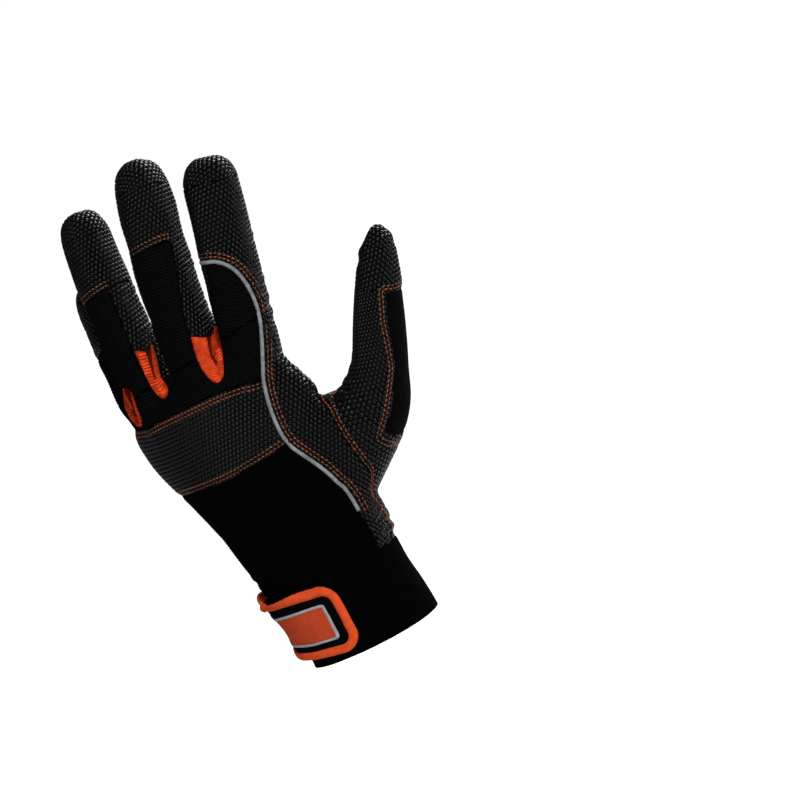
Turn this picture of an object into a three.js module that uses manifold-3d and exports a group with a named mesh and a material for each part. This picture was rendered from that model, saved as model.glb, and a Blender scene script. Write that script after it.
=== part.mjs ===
// A padded work glove for the left hand, filled out as it is worn, in millimetres.
// +Z runs from the wrist opening up to the fingertips, the back of the hand faces -Y, the palm faces +Y
// and the thumb is on the +X side. The origin is the centre of the wrist opening.
// The glove is one hollow skin, cut along its seams into the panels that it is sewn from, with pads,
// piping and a wrist strap laid on it.
import * as THREE from "three";
import { mergeVertices } from "three/addons/utils/BufferGeometryUtils.js";
import Module from "manifold-3d";

const wasm = await Module();
wasm.setup();

// Walls and clearances
const WALL = 2.0;
const SEAM_GAP = 0.3;
const SEAT_GAP = 0.3;
const PAD_THICKNESS = 1.3;

// The cuff and its strap
const CUFF_WIDTH = 65.5;
const CUFF_DEPTH = 48;
const CUFF_HEIGHT = 38;
const SLIT_WIDTH = 1.6;
const SLIT_TURN_DEG = 196;
const SLIT_STOP = 4;
const STRAP_THICKNESS = 2.0;
const STRAP_HEIGHT = 0.84 * CUFF_HEIGHT;
const STRAP_LENGTH = 52;
const STRAP_LIFT = 4.6;
const STRAP_CORNER = 8;
const STRAP_CORNER_LEAST = 1;
const STRAP_END = -4.9;
const STRAP_RISE = 0.12;
const BINDING_WIDTH = 4;
const BINDING_THICKNESS = 3.0;
const LABEL_THICKNESS = 0.9;
const LABEL_INSET = 3.4;

// The hand
const PALM_WIDTH = 97;
const PALM_DEPTH = 32;
const PALM_HEIGHT = 104.5;
const ROOT_TILT_DEG = 6;
const ROOT_CUT = 8;
const ROOT_HEIGHT = CUFF_HEIGHT + PALM_HEIGHT;

// The fingers, from the root line to the tip
const INDEX_LENGTH = 86.3;
const INDEX_WIDTH = 25.5;
const MIDDLE_LENGTH = 98.8;
const MIDDLE_WIDTH = 26;
const RING_LENGTH = 90;
const RING_WIDTH = 24.5;
const LITTLE_LENGTH = 57;
const LITTLE_WIDTH = 21;

// The thumb: its reach from the hand's axis to the tip, and its height above the cuff. The split is the
// plane between its seam on the back and its seam on the palm. A fork's drawn outline reaches this far
// palmwards of its middle, and its narrow front this far backwards.
const THUMB_REACH = 94;
const THUMB_HEIGHT = 129;
const THUMB_WIDTH = 24;
const THUMB_TURN_DEG = 8;
const THUMB_OFFSET = 4;
const THUMB_SPLIT = 2.5;
const FORK_OUTLINE_REACH = 3;
const FORK_FRONT_REACH = 6;

// Shares: of a finger's half width that its ribbed back takes on the little finger's side, of a fork's
// width that its foot keeps on the palm, and of a finger pad's half width that its corners take.
const KNIT_HALF = 0.7;
const FORK_FOOT = 0.45;
const PAD_CORNER = 0.35;

// The reflective piping
const PIPING_WIDTH = 1.9;
const PIPING_PROUD = 0.9;
const PIPING_DEPTH = 1.4;

// Facets
const HAND_SIDES = 20;
const FINGER_SIDES = 12;
const THUMB_SIDES = 11;
const STRAP_CORNER_STEPS = 2;

// The seams of the back lie square to a plane turned this far about Z, towards the thumb.
const BACK_TURN_DEG = 27;
const PALM_TURN_DEG = 180;

// How far cutting shapes run past what they cut: in millimetres past the whole glove and past the
// wrist opening, and in shares of a limb's half size past its sides.
const FAR = 200;
const MOUTH_OVERRUN = 10;
const LIMB_CLEAR = 1.5;
const HAND_CLEAR = 1.3;
// The most that a thumb section shrinks, as a share of its half width.
const SLIM_MOST = 0.8;

const rad = THREE.MathUtils.degToRad;
const lerp = THREE.MathUtils.lerp;
const vec = (x, y, z) => new THREE.Vector3(x, y, z);

// Solids and how they are cut

function solidFromIndexed(positions, indices) {
  return new wasm.Manifold(
    new wasm.Mesh({
      numProp: 3,
      vertProperties: new Float32Array(positions),
      triVerts: new Uint32Array(indices),
    }),
  );
}

function solidFromGeometry(geometry) {
  const flat = geometry.index ? geometry.toNonIndexed() : geometry;
  const bare = new THREE.BufferGeometry();
  bare.setAttribute("position", flat.getAttribute("position"));
  const merged = mergeVertices(bare, 1e-4);
  return solidFromIndexed(merged.getAttribute("position").array, merged.index.array);
}

// A closed solid through rings of points that run anticlockwise, seen from the last ring.
function loft(rings) {
  const sides = rings[0].length;
  const positions = [];
  const indices = [];
  for (const ring of rings) {
    for (const p of ring) positions.push(p.x, p.y, p.z);
  }
  for (let r = 0; r + 1 < rings.length; r++) {
    for (let s = 0; s < sides; s++) {
      const a = r * sides + s;
      const b = r * sides + ((s + 1) % sides);
      indices.push(a, b, b + sides, a, b + sides, a + sides);
    }
  }
  const addCap = (ring, forwards) => {
    const middle = vec(0, 0, 0);
    for (const p of rings[ring]) middle.addScaledVector(p, 1 / sides);
    const hub = positions.length / 3;
    positions.push(middle.x, middle.y, middle.z);
    for (let s = 0; s < sides; s++) {
      const a = ring * sides + s;
      const b = ring * sides + ((s + 1) % sides);
      indices.push(hub, forwards ? a : b, forwards ? b : a);
    }
  };
  addCap(0, false);
  addCap(rings.length - 1, true);
  return solidFromIndexed(positions, indices);
}

// An outline on a plane that is turned about Z, made solid between two depths behind that plane.
function prism(outline, turnDeg, near = -FAR, far = FAR) {
  const clockwise = THREE.ShapeUtils.area(outline) < 0;
  const shape = new THREE.Shape(clockwise ? [...outline].reverse() : outline);
  const geometry = new THREE.ExtrudeGeometry(shape, { depth: far - near, bevelEnabled: false });
  const right = vec(Math.cos(rad(turnDeg)), Math.sin(rad(turnDeg)), 0);
  const up = vec(0, 0, 1);
  geometry.translate(0, 0, -far);
  geometry.applyMatrix4(new THREE.Matrix4().makeBasis(right, up, vec(0, 0, 0).crossVectors(right, up)));
  return solidFromGeometry(geometry);
}

// An outline or open line moved sideways, to the right of its own direction.
function shifted(points, distance, closed = false) {
  const count = points.length;
  return points.map((point, i) => {
    const before = closed ? points[(i + count - 1) % count] : points[Math.max(i - 1, 0)];
    const after = closed ? points[(i + 1) % count] : points[Math.min(i + 1, count - 1)];
    const inward = point.clone().sub(before).normalize();
    const onward = after.clone().sub(point).normalize();
    const along = inward.add(onward).normalize();
    return new THREE.Vector2(point.x + along.y * distance, point.y - along.x * distance);
  });
}

function grown(outline, distance) {
  const anticlockwise = THREE.ShapeUtils.area(outline) > 0;
  return shifted(outline, anticlockwise ? distance : -distance, true);
}

function joined(solids) {
  return solids.reduce((sum, solid) => sum.add(solid));
}

function largest(solid) {
  return solid.decompose().reduce((best, body) => (body.volume() > best.volume() ? body : best));
}

function superellipse(section, offset, sides, exponent) {
  const ring = [];
  for (let s = 0; s < sides; s++) {
    const angle = (2 * Math.PI * s) / sides;
    const cosine = Math.cos(angle);
    const sine = Math.sin(angle);
    const across = (section.halfWidth + offset) * Math.sign(cosine) * Math.abs(cosine) ** (2 / exponent);
    const depth = (section.halfDepth + offset) * Math.sign(sine) * Math.abs(sine) ** (2 / exponent);
    ring.push(pointIn(section, across, depth));
  }
  return ring;
}

// A point of a section, given across it and towards the palm.
function pointIn(section, across, depth) {
  const bow = section.bow ? section.bow * (1 - (across / section.halfWidth) ** 2) : 0;
  const point = section.centre.clone().addScaledVector(section.across, across);
  point.addScaledVector(section.palmward, depth - bow);
  point.z += across * (section.climb || 0);
  return point;
}

// The hand's sections. Heights are shares of the cuff or the palm, across and width are shares of the
// width, back and depth of the depth. Bow pushes a section's middle out of the palm, and tilt lowers
// its little-finger side. Rise is the share of an offset that also moves the section upwards.
const CUFF_SECTIONS = [
  { height: 0.0, across: 0.0, back: 0.0, width: 1.0, depth: 1.0 },
  { height: 1.0, across: -0.022, back: 0.0, width: 0.985, depth: 1.0 },
];
const PALM_SECTIONS = [
  { height: 0.09, across: -0.026, back: 0.02, width: 0.73, depth: 1.44, turn: 0, bow: 0.0, tilt: 0, rise: 0 },
  { height: 0.28, across: -0.066, back: 0.08, width: 0.79, depth: 1.34, turn: 2, bow: 0.03, tilt: 0, rise: 0 },
  { height: 0.5, across: -0.113, back: 0.17, width: 0.905, depth: 1.19, turn: 6, bow: 0.09, tilt: 0, rise: 0 },
  { height: 0.62, across: -0.148, back: 0.23, width: 0.995, depth: 1.09, turn: 8, bow: 0.14, tilt: 0, rise: 0 },
  { height: 0.76, across: -0.179, back: 0.28, width: 1.05, depth: 1.03, turn: 11, bow: 0.2, tilt: 2, rise: 0 },
  { height: 0.9, across: -0.221, back: 0.33, width: 1.0, depth: 0.97, turn: 13, bow: 0.25, tilt: 5, rise: 0 },
  { height: 0.98, across: -0.221, back: 0.34, width: 0.93, depth: 0.84, turn: 13, bow: 0.25, tilt: 6, rise: 0.2 },
  { height: 1.035, across: -0.221, back: 0.34, width: 0.8, depth: 0.62, turn: 13, bow: 0.22, tilt: 6, rise: 0.7 },
  { height: 1.06, across: -0.221, back: 0.34, width: 0.6, depth: 0.36, turn: 13, bow: 0.16, tilt: 6, rise: 1 },
];
const HAND_EXPONENT = 2.2;

function handSections(bottom) {
  const sections = CUFF_SECTIONS.map((row) => ({
    centre: vec(row.across * CUFF_WIDTH, row.back * CUFF_DEPTH, row.height > 0 ? CUFF_HEIGHT : bottom),
    across: vec(1, 0, 0),
    palmward: vec(0, 1, 0),
    halfWidth: (row.width * CUFF_WIDTH) / 2,
    halfDepth: (row.depth * CUFF_DEPTH) / 2,
    rise: 0,
  }));
  for (const row of PALM_SECTIONS) {
    const turn = rad(row.turn);
    sections.push({
      centre: vec(row.across * PALM_WIDTH, row.back * PALM_DEPTH, CUFF_HEIGHT + row.height * PALM_HEIGHT),
      across: vec(Math.cos(turn), -Math.sin(turn), 0),
      palmward: vec(Math.sin(turn), Math.cos(turn), 0),
      halfWidth: (row.width * PALM_WIDTH) / 2,
      halfDepth: (row.depth * PALM_DEPTH) / 2,
      bow: row.bow * PALM_DEPTH,
      climb: Math.tan(rad(row.tilt)),
      rise: row.rise,
    });
  }
  return sections;
}

function handBody(offset, bottom) {
  const rings = handSections(bottom).map((section) => {
    const ring = superellipse(section, offset, HAND_SIDES, HAND_EXPONENT);
    for (const point of ring) point.z += offset * section.rise;
    return ring;
  });
  return loft(rings);
}

// The fingers. Across and back place the root, as shares of the palm's width and depth. Lean and
// sweep are the slopes across and towards the palm, curl the palmward bend at the tip as a share of
// the length, and roll turns the finger's back towards the little finger. Knit is the share of the
// length where the ribbed back ends and the leather cap starts; knitRoot and knitEnd are its half width
// on the thumb's side, at the root and at that end, as shares of the finger's half width.
const FINGERS = [
  { name: "index", length: INDEX_LENGTH, width: INDEX_WIDTH, across: 0.149, back: 0.06,
    lean: 0.225, sweep: 0.12, curl: 0.05, roll: -12, knit: 0.6, knitRoot: 0.7, knitEnd: 0.7 },
  { name: "middle", length: MIDDLE_LENGTH, width: MIDDLE_WIDTH, across: -0.132, back: 0.0,
    lean: 0.13, sweep: 0.0, curl: 0.19, roll: 4, knit: 0.609, knitRoot: 0.6, knitEnd: 0.93 },
  { name: "ring", length: RING_LENGTH, width: RING_WIDTH, across: -0.446, back: 0.16,
    lean: 0.02, sweep: 0.08, curl: 0.1, roll: 20, knit: 0.575, knitRoot: 0.78, knitEnd: 0.85 },
  { name: "little", length: LITTLE_LENGTH, width: LITTLE_WIDTH, across: -0.605, back: 0.62,
    lean: -0.1, sweep: 0.25, curl: 0.1, roll: 42, knit: 0.45, knitRoot: 0.75, knitEnd: 0.8 },
];
// A finger's outline: width and depth as shares of the finger's width, along as a share of its length.
const FINGER_OUTLINE = [
  { along: -0.24, width: 0.78, depth: 0.74, rise: 0 },
  { along: 0.0, width: 1.0, depth: 0.96, rise: 0 },
  { along: 0.3, width: 1.0, depth: 0.96, rise: 0 },
  { along: 0.82, width: 0.96, depth: 0.88, rise: 0 },
  { along: 0.92, width: 0.88, depth: 0.77, rise: 0.3 },
  { along: 0.97, width: 0.72, depth: 0.6, rise: 0.7 },
  { along: 1.0, width: 0.46, depth: 0.34, rise: 1 },
];
const FINGER_EXPONENT = 2.4;

function outlineAt(rows, along) {
  const last = rows.length - 1;
  let i = 0;
  while (i < last - 1 && rows[i + 1].along < along) i++;
  const share = THREE.MathUtils.inverseLerp(rows[i].along, rows[i + 1].along, along);
  const between = (key) => lerp(rows[i][key], rows[i + 1][key], THREE.MathUtils.clamp(share, 0, 1));
  return { width: between("width"), depth: between("depth") };
}

function fingerSection(finger, along) {
  const up = along * finger.length;
  const bend = up > 0 ? finger.curl * along : 0;
  const centre = vec(
    finger.across * PALM_WIDTH + finger.lean * up,
    finger.back * PALM_DEPTH + (finger.sweep + bend) * up,
    ROOT_HEIGHT + up,
  );
  const onward = vec(finger.lean, finger.sweep + 2 * bend, 1).normalize();
  const across = vec(1, 0, 0).addScaledVector(onward, -onward.x).normalize();
  across.applyAxisAngle(onward, -rad(finger.roll));
  const size = outlineAt(FINGER_OUTLINE, along);
  return {
    centre,
    onward,
    across,
    palmward: vec(0, 0, 0).crossVectors(onward, across),
    halfWidth: (size.width * finger.width) / 2,
    halfDepth: (size.depth * finger.width) / 2,
  };
}

function fingerBody(finger, offset) {
  const rings = FINGER_OUTLINE.map((row) => {
    const section = fingerSection(finger, row.along);
    section.centre.addScaledVector(section.onward, offset * row.rise);
    return superellipse(section, offset, FINGER_SIDES, FINGER_EXPONENT);
  });
  return loft(rings);
}

// The thumb lies in an upright plane turned a little palmwards. Reach is its distance out in that
// plane as a share of the thumb's reach, height above the cuff a share of its height, width and depth
// of its width.
const THUMB_SECTIONS = [
  { reach: 0.09, height: 0.184, width: 1.3, depth: 1.05, rise: 0 },
  { reach: 0.205, height: 0.288, width: 1.66, depth: 1.35, rise: 0 },
  { reach: 0.375, height: 0.389, width: 1.75, depth: 1.38, rise: 0 },
  { reach: 0.525, height: 0.441, width: 1.44, depth: 1.3, rise: 0 },
  { reach: 0.655, height: 0.547, width: 1.1, depth: 1.12, rise: 0 },
  { reach: 0.743, height: 0.665, width: 0.98, depth: 1.0, rise: 0 },
  { reach: 0.818, height: 0.764, width: 0.91, depth: 0.92, rise: 0 },
  { reach: 0.943, height: 0.928, width: 0.66, depth: 0.68, rise: 0.3 },
  { reach: 0.978, height: 0.974, width: 0.42, depth: 0.5, rise: 0.7 },
  { reach: 0.995, height: 1, width: 0.2, depth: 0.24, rise: 1 },
];
const THUMB_EXPONENT = 2.2;

function thumbStation(index) {
  const clamped = THREE.MathUtils.clamp(index, 0, THUMB_SECTIONS.length - 1);
  const i = Math.min(Math.floor(clamped), THUMB_SECTIONS.length - 2);
  const between = (key) => lerp(THUMB_SECTIONS[i][key], THUMB_SECTIONS[i + 1][key], clamped - i);
  return {
    out: between("reach") * THUMB_REACH,
    up: CUFF_HEIGHT + between("height") * THUMB_HEIGHT,
    halfWidth: (between("width") * THUMB_WIDTH) / 2,
    halfDepth: (between("depth") * THUMB_WIDTH) / 2,
    rise: between("rise"),
  };
}

// A section of the thumb, at a whole or broken row of the table. Across points to the thumb's back.
function thumbSection(index) {
  const outward = vec(Math.cos(rad(THUMB_TURN_DEG)), Math.sin(rad(THUMB_TURN_DEG)), 0);
  const station = thumbStation(index);
  const before = thumbStation(index - 1);
  const after = thumbStation(index + 1);
  const onward = outward.clone().multiplyScalar(after.out - before.out);
  onward.z = after.up - before.up;
  onward.normalize();
  const palmward = vec(-outward.y, outward.x, 0);
  const centre = outward.clone().multiplyScalar(station.out);
  centre.y += THUMB_OFFSET;
  centre.z = station.up;
  return { ...station, centre, onward, palmward, across: vec(0, 0, 0).crossVectors(palmward, onward) };
}

function thumbBody(offset) {
  const rings = THUMB_SECTIONS.map((row, index) => {
    const section = thumbSection(index);
    section.centre.addScaledVector(section.onward, offset * row.rise);
    const slim = Math.max(offset, -SLIM_MOST * section.halfWidth);
    return superellipse(section, slim, THUMB_SIDES, THUMB_EXPONENT);
  });
  return loft(rings);
}

// A four-sided bar that follows a limb. Each row gives the section, and its reach from the limb's
// middle line to either side and towards the palm, as shares of the section's half sizes.
function limbBar(rows) {
  const rings = rows.map(({ section, from, to, near, far }) => [
    pointIn(section, from * section.halfWidth, near * section.halfDepth),
    pointIn(section, to * section.halfWidth, near * section.halfDepth),
    pointIn(section, to * section.halfWidth, far * section.halfDepth),
    pointIn(section, from * section.halfWidth, far * section.halfDepth),
  ]);
  return loft(rings);
}

// The whole glove, grown or shrunk by an offset.
function gloveBody(offset, bottom = 0) {
  return joined([handBody(offset, bottom), ...FINGERS.map((f) => fingerBody(f, offset)), thumbBody(offset)]);
}

// The skin and the regions that cut it

const outer = gloveBody(0);
const hollow = gloveBody(-WALL, -MOUTH_OVERRUN);
const skin = outer.subtract(hollow);

// Seams are drawn as shares of half the palm's width and of the palm's height above the cuff.
const aboveCuffBy = (share) => CUFF_HEIGHT + share * PALM_HEIGHT;
const seam = (rows) => rows.map(([across, up]) => new THREE.Vector2((across * PALM_WIDTH) / 2, aboveCuffBy(up)));

// The piping, from the index finger's inner edge round its back and down to the cuff.
const PIPING_LINE = seam([
  [0.27, 1.439], [0.4, 1.416], [0.5, 1.36], [0.543, 1.28], [0.533, 1.18], [0.47, 1.085], [0.34, 0.96],
  [0.22, 0.84], [0.153, 0.69], [0.166, 0.58], [0.235, 0.512], [0.34, 0.41], [0.43, 0.26], [0.435, -0.036],
]);
// The two seams across the back, from the little finger's side to the piping.
const UPPER_SEAM = seam([[-1.6, 0.88], [-1.08, 0.9], [-0.66, 0.914], [-0.14, 0.914], [0.6, 0.85]]);
const LOWER_SEAM = seam([[-1.6, 0.562], [-0.56, 0.559], [0.0, 0.581], [0.6, 0.61]]);
// The thumb's set-in seam, on the palm and on the back.
const THUMB_PALM_SEAM = seam([
  [0.79, 0.684], [0.6, 0.714], [0.38, 0.707], [0.17, 0.667], [0.0, 0.575], [-0.13, 0.43],
  [-0.19, 0.26], [-0.1, 0.09], [0.05, 0.02], [0.21, 0.002], [0.76, 0.025],
]);
const THUMB_BACK_SEAM = seam([
  [0.6, 0.74], [0.635, 0.65], [0.632, 0.566], [0.637, 0.48], [0.668, 0.37], [0.705, 0.29], [0.78, 0.25],
]);
const THUMB_CLEAR = seam([[2.8, -0.091], [2.8, 1.409], [1.3, 1.409], [0.95, 0.905], [0.8, 0.727]]);

function upright(lowX, highX, lowY, highY, lowZ, highZ) {
  const box = new THREE.BoxGeometry(highX - lowX, highY - lowY, highZ - lowZ);
  box.translate((lowX + highX) / 2, (lowY + highY) / 2, (lowZ + highZ) / 2);
  return solidFromGeometry(box);
}

// Everything on the thumb's side of the piping's middle line, moved over by a distance.
function thumbSideOfPiping(distance) {
  const line = shifted(PIPING_LINE, distance);
  const top = line[0];
  const bottom = line[line.length - 1];
  const outline = [
    ...line,
    new THREE.Vector2(bottom.x, -FAR),
    new THREE.Vector2(FAR, -FAR),
    new THREE.Vector2(FAR, 2 * FAR),
    new THREE.Vector2(-FAR, 2 * FAR),
    new THREE.Vector2(-FAR, top.y),
  ];
  return prism(outline, BACK_TURN_DEG);
}

// The thumb with its base, in front of and behind the plane that splits its two seams.
function thumbRegion(distance) {
  const palm = [...THUMB_PALM_SEAM, ...THUMB_CLEAR];
  const back = [...THUMB_BACK_SEAM, ...THUMB_CLEAR];
  const palmPart = prism(grown(palm.reverse().map(mirrored), distance), PALM_TURN_DEG);
  const backPart = prism(grown(back, distance), BACK_TURN_DEG);
  const palmSide = upright(-FAR, FAR, THUMB_SPLIT - distance, FAR, -FAR, 2 * FAR);
  const backSide = upright(-FAR, FAR, -FAR, THUMB_SPLIT + distance, -FAR, 2 * FAR);
  return palmPart.intersect(palmSide).add(backPart.intersect(backSide));
}

function mirrored(point) {
  return new THREE.Vector2(-point.x, point.y);
}

// The back's half of the hand: all that lies behind the hand's middle surface.
function backHalf(distance) {
  const rings = handSections(0).map((section, index, all) => {
    const level = { ...section, climb: 0, bow: section.bow || 0 };
    if (index === 0) level.centre.z = -MOUTH_OVERRUN;
    if (index === all.length - 1) level.centre.z = ROOT_HEIGHT + MOUTH_OVERRUN;
    const edge = section.halfWidth * HAND_CLEAR;
    return [
      pointIn(level, -edge, -FAR),
      pointIn(level, edge, -FAR),
      pointIn(level, edge, distance),
      pointIn(level, section.halfWidth / 2, distance),
      pointIn(level, 0, distance),
      pointIn(level, -section.halfWidth / 2, distance),
      pointIn(level, -edge, distance),
    ];
  });
  return loft(rings);
}

// All that lies above the finger roots, which are cut on a line that drops to the little finger.
function aboveRoots(distance) {
  const slope = Math.tan(rad(ROOT_TILT_DEG));
  const middle = PALM_SECTIONS[PALM_SECTIONS.length - 1].across * PALM_WIDTH;
  const level = ROOT_HEIGHT + ROOT_CUT + distance - slope * middle;
  const outline = [
    new THREE.Vector2(-FAR, level - slope * FAR),
    new THREE.Vector2(FAR, level + slope * FAR),
    new THREE.Vector2(FAR, 3 * FAR),
    new THREE.Vector2(-FAR, 3 * FAR),
  ];
  return prism(outline, 0);
}

// The forks between the fingers. On the back each has a drawn outline, as the seams have. On the palm it
// is a narrow wedge: across and half are shares of half the palm's width, back of its depth, low and
// high of its height above the cuff, and turn is the way the wedge faces.
const FORKS = [
  { name: "index_middle_fork", across: 0.005, back: 0.03, turn: 4, low: 0.98, high: 1.082, half: 0.055,
    outline: [[-0.17, 1.186], [0.105, 1.186], [0.06, 1.1], [-0.1, 0.962], [-0.16, 0.962], [-0.205, 1.005]] },
  { name: "middle_ring_fork", across: -0.61, back: 0.08, turn: 12, low: 0.959, high: 1.095, half: 0.06,
    outline: [[-0.69, 1.234], [-0.51, 1.245], [-0.58, 1.07], [-0.64, 0.999], [-0.69, 1.0], [-0.715, 1.058]] },
  { name: "ring_little_fork", across: -1.065, back: 0.4, turn: 42, low: 0.864, high: 1.041, half: 0.06,
    outline: [[-0.98, 1.11], [-0.92, 1.08], [-0.95, 0.955], [-0.99, 0.92], [-1.04, 0.915], [-1.075, 0.95]] },
];

function forkRegion(fork, distance) {
  const turn = rad(fork.turn);
  const across = vec(Math.cos(turn), -Math.sin(turn), 0);
  const palmward = vec(Math.sin(turn), Math.cos(turn), 0);
  const centre = vec((fork.across * PALM_WIDTH) / 2, fork.back * PALM_DEPTH, 0);
  const ring = (depth, corners) =>
    corners.map(([side, up]) => {
      const point = centre.clone().addScaledVector(across, side).addScaledVector(palmward, depth);
      point.z = up;
      return point;
    });
  const width = (fork.half * PALM_WIDTH) / 2 + distance;
  const foot = (FORK_FOOT * fork.half * PALM_WIDTH) / 2 + distance;
  const top = aboveCuffBy(fork.high) + distance;
  const bottom = aboveCuffBy(fork.low) - distance;
  const wedge = [[width, top], [foot, bottom], [-foot, bottom], [-width, top]];
  const front = loft([ring(-FORK_FRONT_REACH - distance, wedge), ring(PALM_DEPTH, wedge)]);
  const block = [[FAR, FAR], [FAR, 0], [-FAR, 0], [-FAR, FAR]];
  const behind = loft([ring(-PALM_DEPTH, block), ring(FORK_OUTLINE_REACH + distance, block)]);
  return prism(grown(seam(fork.outline), distance), BACK_TURN_DEG).intersect(behind).add(front);
}

// The ribbed back of a finger, as a bar along its back.
function knitBar(finger, distance) {
  const shares = [-0.3, 0, 0.3, finger.knit];
  const rows = shares.map((along) => {
    const section = fingerSection(finger, along + (along === finger.knit ? distance / finger.length : 0));
    const more = distance / section.halfWidth;
    const thumbward = lerp(finger.knitRoot, finger.knitEnd, Math.max(along, 0) / finger.knit);
    return { section, from: -KNIT_HALF - more, to: thumbward + more, near: -LIMB_CLEAR, far: distance / section.halfDepth };
  });
  return limbBar(rows);
}

// The piping's strip along the back of the hand and of the index finger.
function pipingRegion(distance) {
  const half = PIPING_WIDTH / 2 + distance;
  const outline = [...shifted(PIPING_LINE, half), ...shifted(PIPING_LINE, -half).reverse()];
  const rows = [-0.4, 0, 0.3, 0.6, 0.9].map((along) => {
    const section = fingerSection(FINGERS[0], along);
    return { section, from: -LIMB_CLEAR, to: LIMB_CLEAR, near: -LIMB_CLEAR, far: 0 };
  });
  const zone = backHalf(distance).subtract(aboveRoots(0)).add(limbBar(rows));
  return prism(outline, BACK_TURN_DEG).intersect(zone);
}

// Materials

const leather = new THREE.MeshStandardMaterial({ color: 0x24262a, roughness: 0.45, metalness: 0 });
const knit = new THREE.MeshStandardMaterial({ color: 0x101012, roughness: 0.9, metalness: 0 });
const fabric = new THREE.MeshStandardMaterial({ color: 0x0b0b0d, roughness: 0.85, metalness: 0 });
const plush = new THREE.MeshStandardMaterial({ color: 0x121214, roughness: 1.0, metalness: 0 });
const orange = new THREE.MeshStandardMaterial({ color: 0xf0562a, roughness: 0.8, metalness: 0 });
const label = new THREE.MeshStandardMaterial({ color: 0xd8452c, roughness: 0.6, metalness: 0 });
const piping = new THREE.MeshStandardMaterial({ color: 0x9a9da2, roughness: 0.35, metalness: 0.1 });

const glove = new THREE.Group();

function addPart(name, solid, material) {
  const body = largest(solid);
  const mesh = body.getMesh();
  const geometry = new THREE.BufferGeometry();
  geometry.setAttribute("position", new THREE.BufferAttribute(new Float32Array(mesh.vertProperties), 3));
  geometry.setIndex(new THREE.BufferAttribute(new Uint32Array(mesh.triVerts), 1));
  geometry.computeVertexNormals();
  const part = new THREE.Mesh(geometry, material);
  part.name = name;
  glove.add(part);
  return body;
}

// Forks, thumb and piping come off the skin first.
const forksGrown = joined(FORKS.map((fork) => forkRegion(fork, SEAM_GAP)));
for (const fork of FORKS) addPart(fork.name, skin.intersect(forkRegion(fork, 0)), orange);

const thumbSkin = skin.intersect(thumbRegion(0));
const handSkin = skin.subtract(forksGrown).subtract(thumbRegion(SEAM_GAP)).subtract(pipingRegion(SEAM_GAP));

// The plush patch runs along the thumb's back, from row to row of the thumb's table. It covers all past
// its start, a share of the thumb's half size, on an axis that turns from across towards the palm.
const PATCH_ROWS = [
  { row: 2.85, start: -0.05, turn: 42 }, { row: 3.3, start: -0.05, turn: 42 }, { row: 3.6, start: 0.05, turn: 38 },
  { row: 4.2, start: 0.25, turn: 32 }, { row: 5.5, start: 0.1, turn: 28 }, { row: 6.22, start: 0.08, turn: 27 },
];

function patchBar(distance) {
  const last = PATCH_ROWS.length - 1;
  const rings = PATCH_ROWS.map(({ row, start, turn }, index) => {
    const reach = index === 0 ? -distance : index === last ? distance : 0;
    const section = thumbSection(row);
    section.centre.addScaledVector(section.onward, reach);
    const near = start - distance / section.halfWidth;
    const far = 2 * LIMB_CLEAR;
    const corners = [[near, -far], [far, -far], [far, far], [near, far]];
    return corners.map(([out, side]) => {
      const across = out * Math.cos(rad(turn)) - side * Math.sin(rad(turn));
      const palmward = out * Math.sin(rad(turn)) + side * Math.cos(rad(turn));
      return pointIn(section, across * section.halfWidth, palmward * section.halfDepth);
    });
  });
  return loft(rings);
}

addPart("thumb_back_patch", thumbSkin.intersect(patchBar(0)), plush);
addPart("thumb_shell", thumbSkin.subtract(patchBar(SEAM_GAP)), leather);

// Fingers
const aboveCut = aboveRoots(SEAM_GAP);
const belowCut = aboveRoots(0);
const pipingHalf = PIPING_WIDTH / 2;
const leatherSide = thumbSideOfPiping(-pipingHalf - SEAM_GAP);
const leatherAndPiping = thumbSideOfPiping(pipingHalf + SEAM_GAP);

FINGERS.forEach((finger, index) => {
  let zone = handSkin.intersect(aboveCut).intersect(fingerBody(finger, SEAM_GAP / 3));
  for (const other of FINGERS.slice(0, index)) zone = zone.subtract(fingerBody(other, SEAM_GAP));
  let knitZone = knitBar(finger, 0);
  let knitGrown = knitBar(finger, SEAM_GAP);
  if (finger.name === "index") {
    knitZone = knitZone.subtract(leatherAndPiping);
    knitGrown = knitGrown.subtract(leatherSide);
  }
  addPart(`${finger.name}_finger_back`, zone.intersect(knitZone), knit);
  addPart(`${finger.name}_finger_front`, zone.subtract(knitGrown), leather);
});

// The hand's panels
const palmSkin = handSkin.subtract(belowCut);
const cuffTop = (distance) => upright(-FAR, FAR, -FAR, FAR, -FAR, CUFF_HEIGHT + distance);
const aboveCuff = palmSkin.subtract(cuffTop(SEAM_GAP));
const backSkin = aboveCuff.intersect(backHalf(0));
addPart("palm_panel", aboveCuff.subtract(backHalf(SEAM_GAP)), leather);
addPart("index_side_panel", backSkin.intersect(leatherSide), leather);

const knitSkin = backSkin.subtract(leatherAndPiping);
const aboveSeam = (line, distance) => {
  const raised = shifted(line, -distance);
  const ends = [new THREE.Vector2(FAR, 3 * FAR), new THREE.Vector2(-FAR, 3 * FAR)];
  return prism([...raised, ...ends], BACK_TURN_DEG);
};
addPart("knuckle_knit", knitSkin.intersect(aboveSeam(UPPER_SEAM, SEAM_GAP)), knit);
const belowUpper = knitSkin.subtract(aboveSeam(UPPER_SEAM, 0));
addPart("knuckle_band", belowUpper.intersect(aboveSeam(LOWER_SEAM, SEAM_GAP)), leather);
addPart("back_panel", belowUpper.subtract(aboveSeam(LOWER_SEAM, 0)), fabric);

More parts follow.
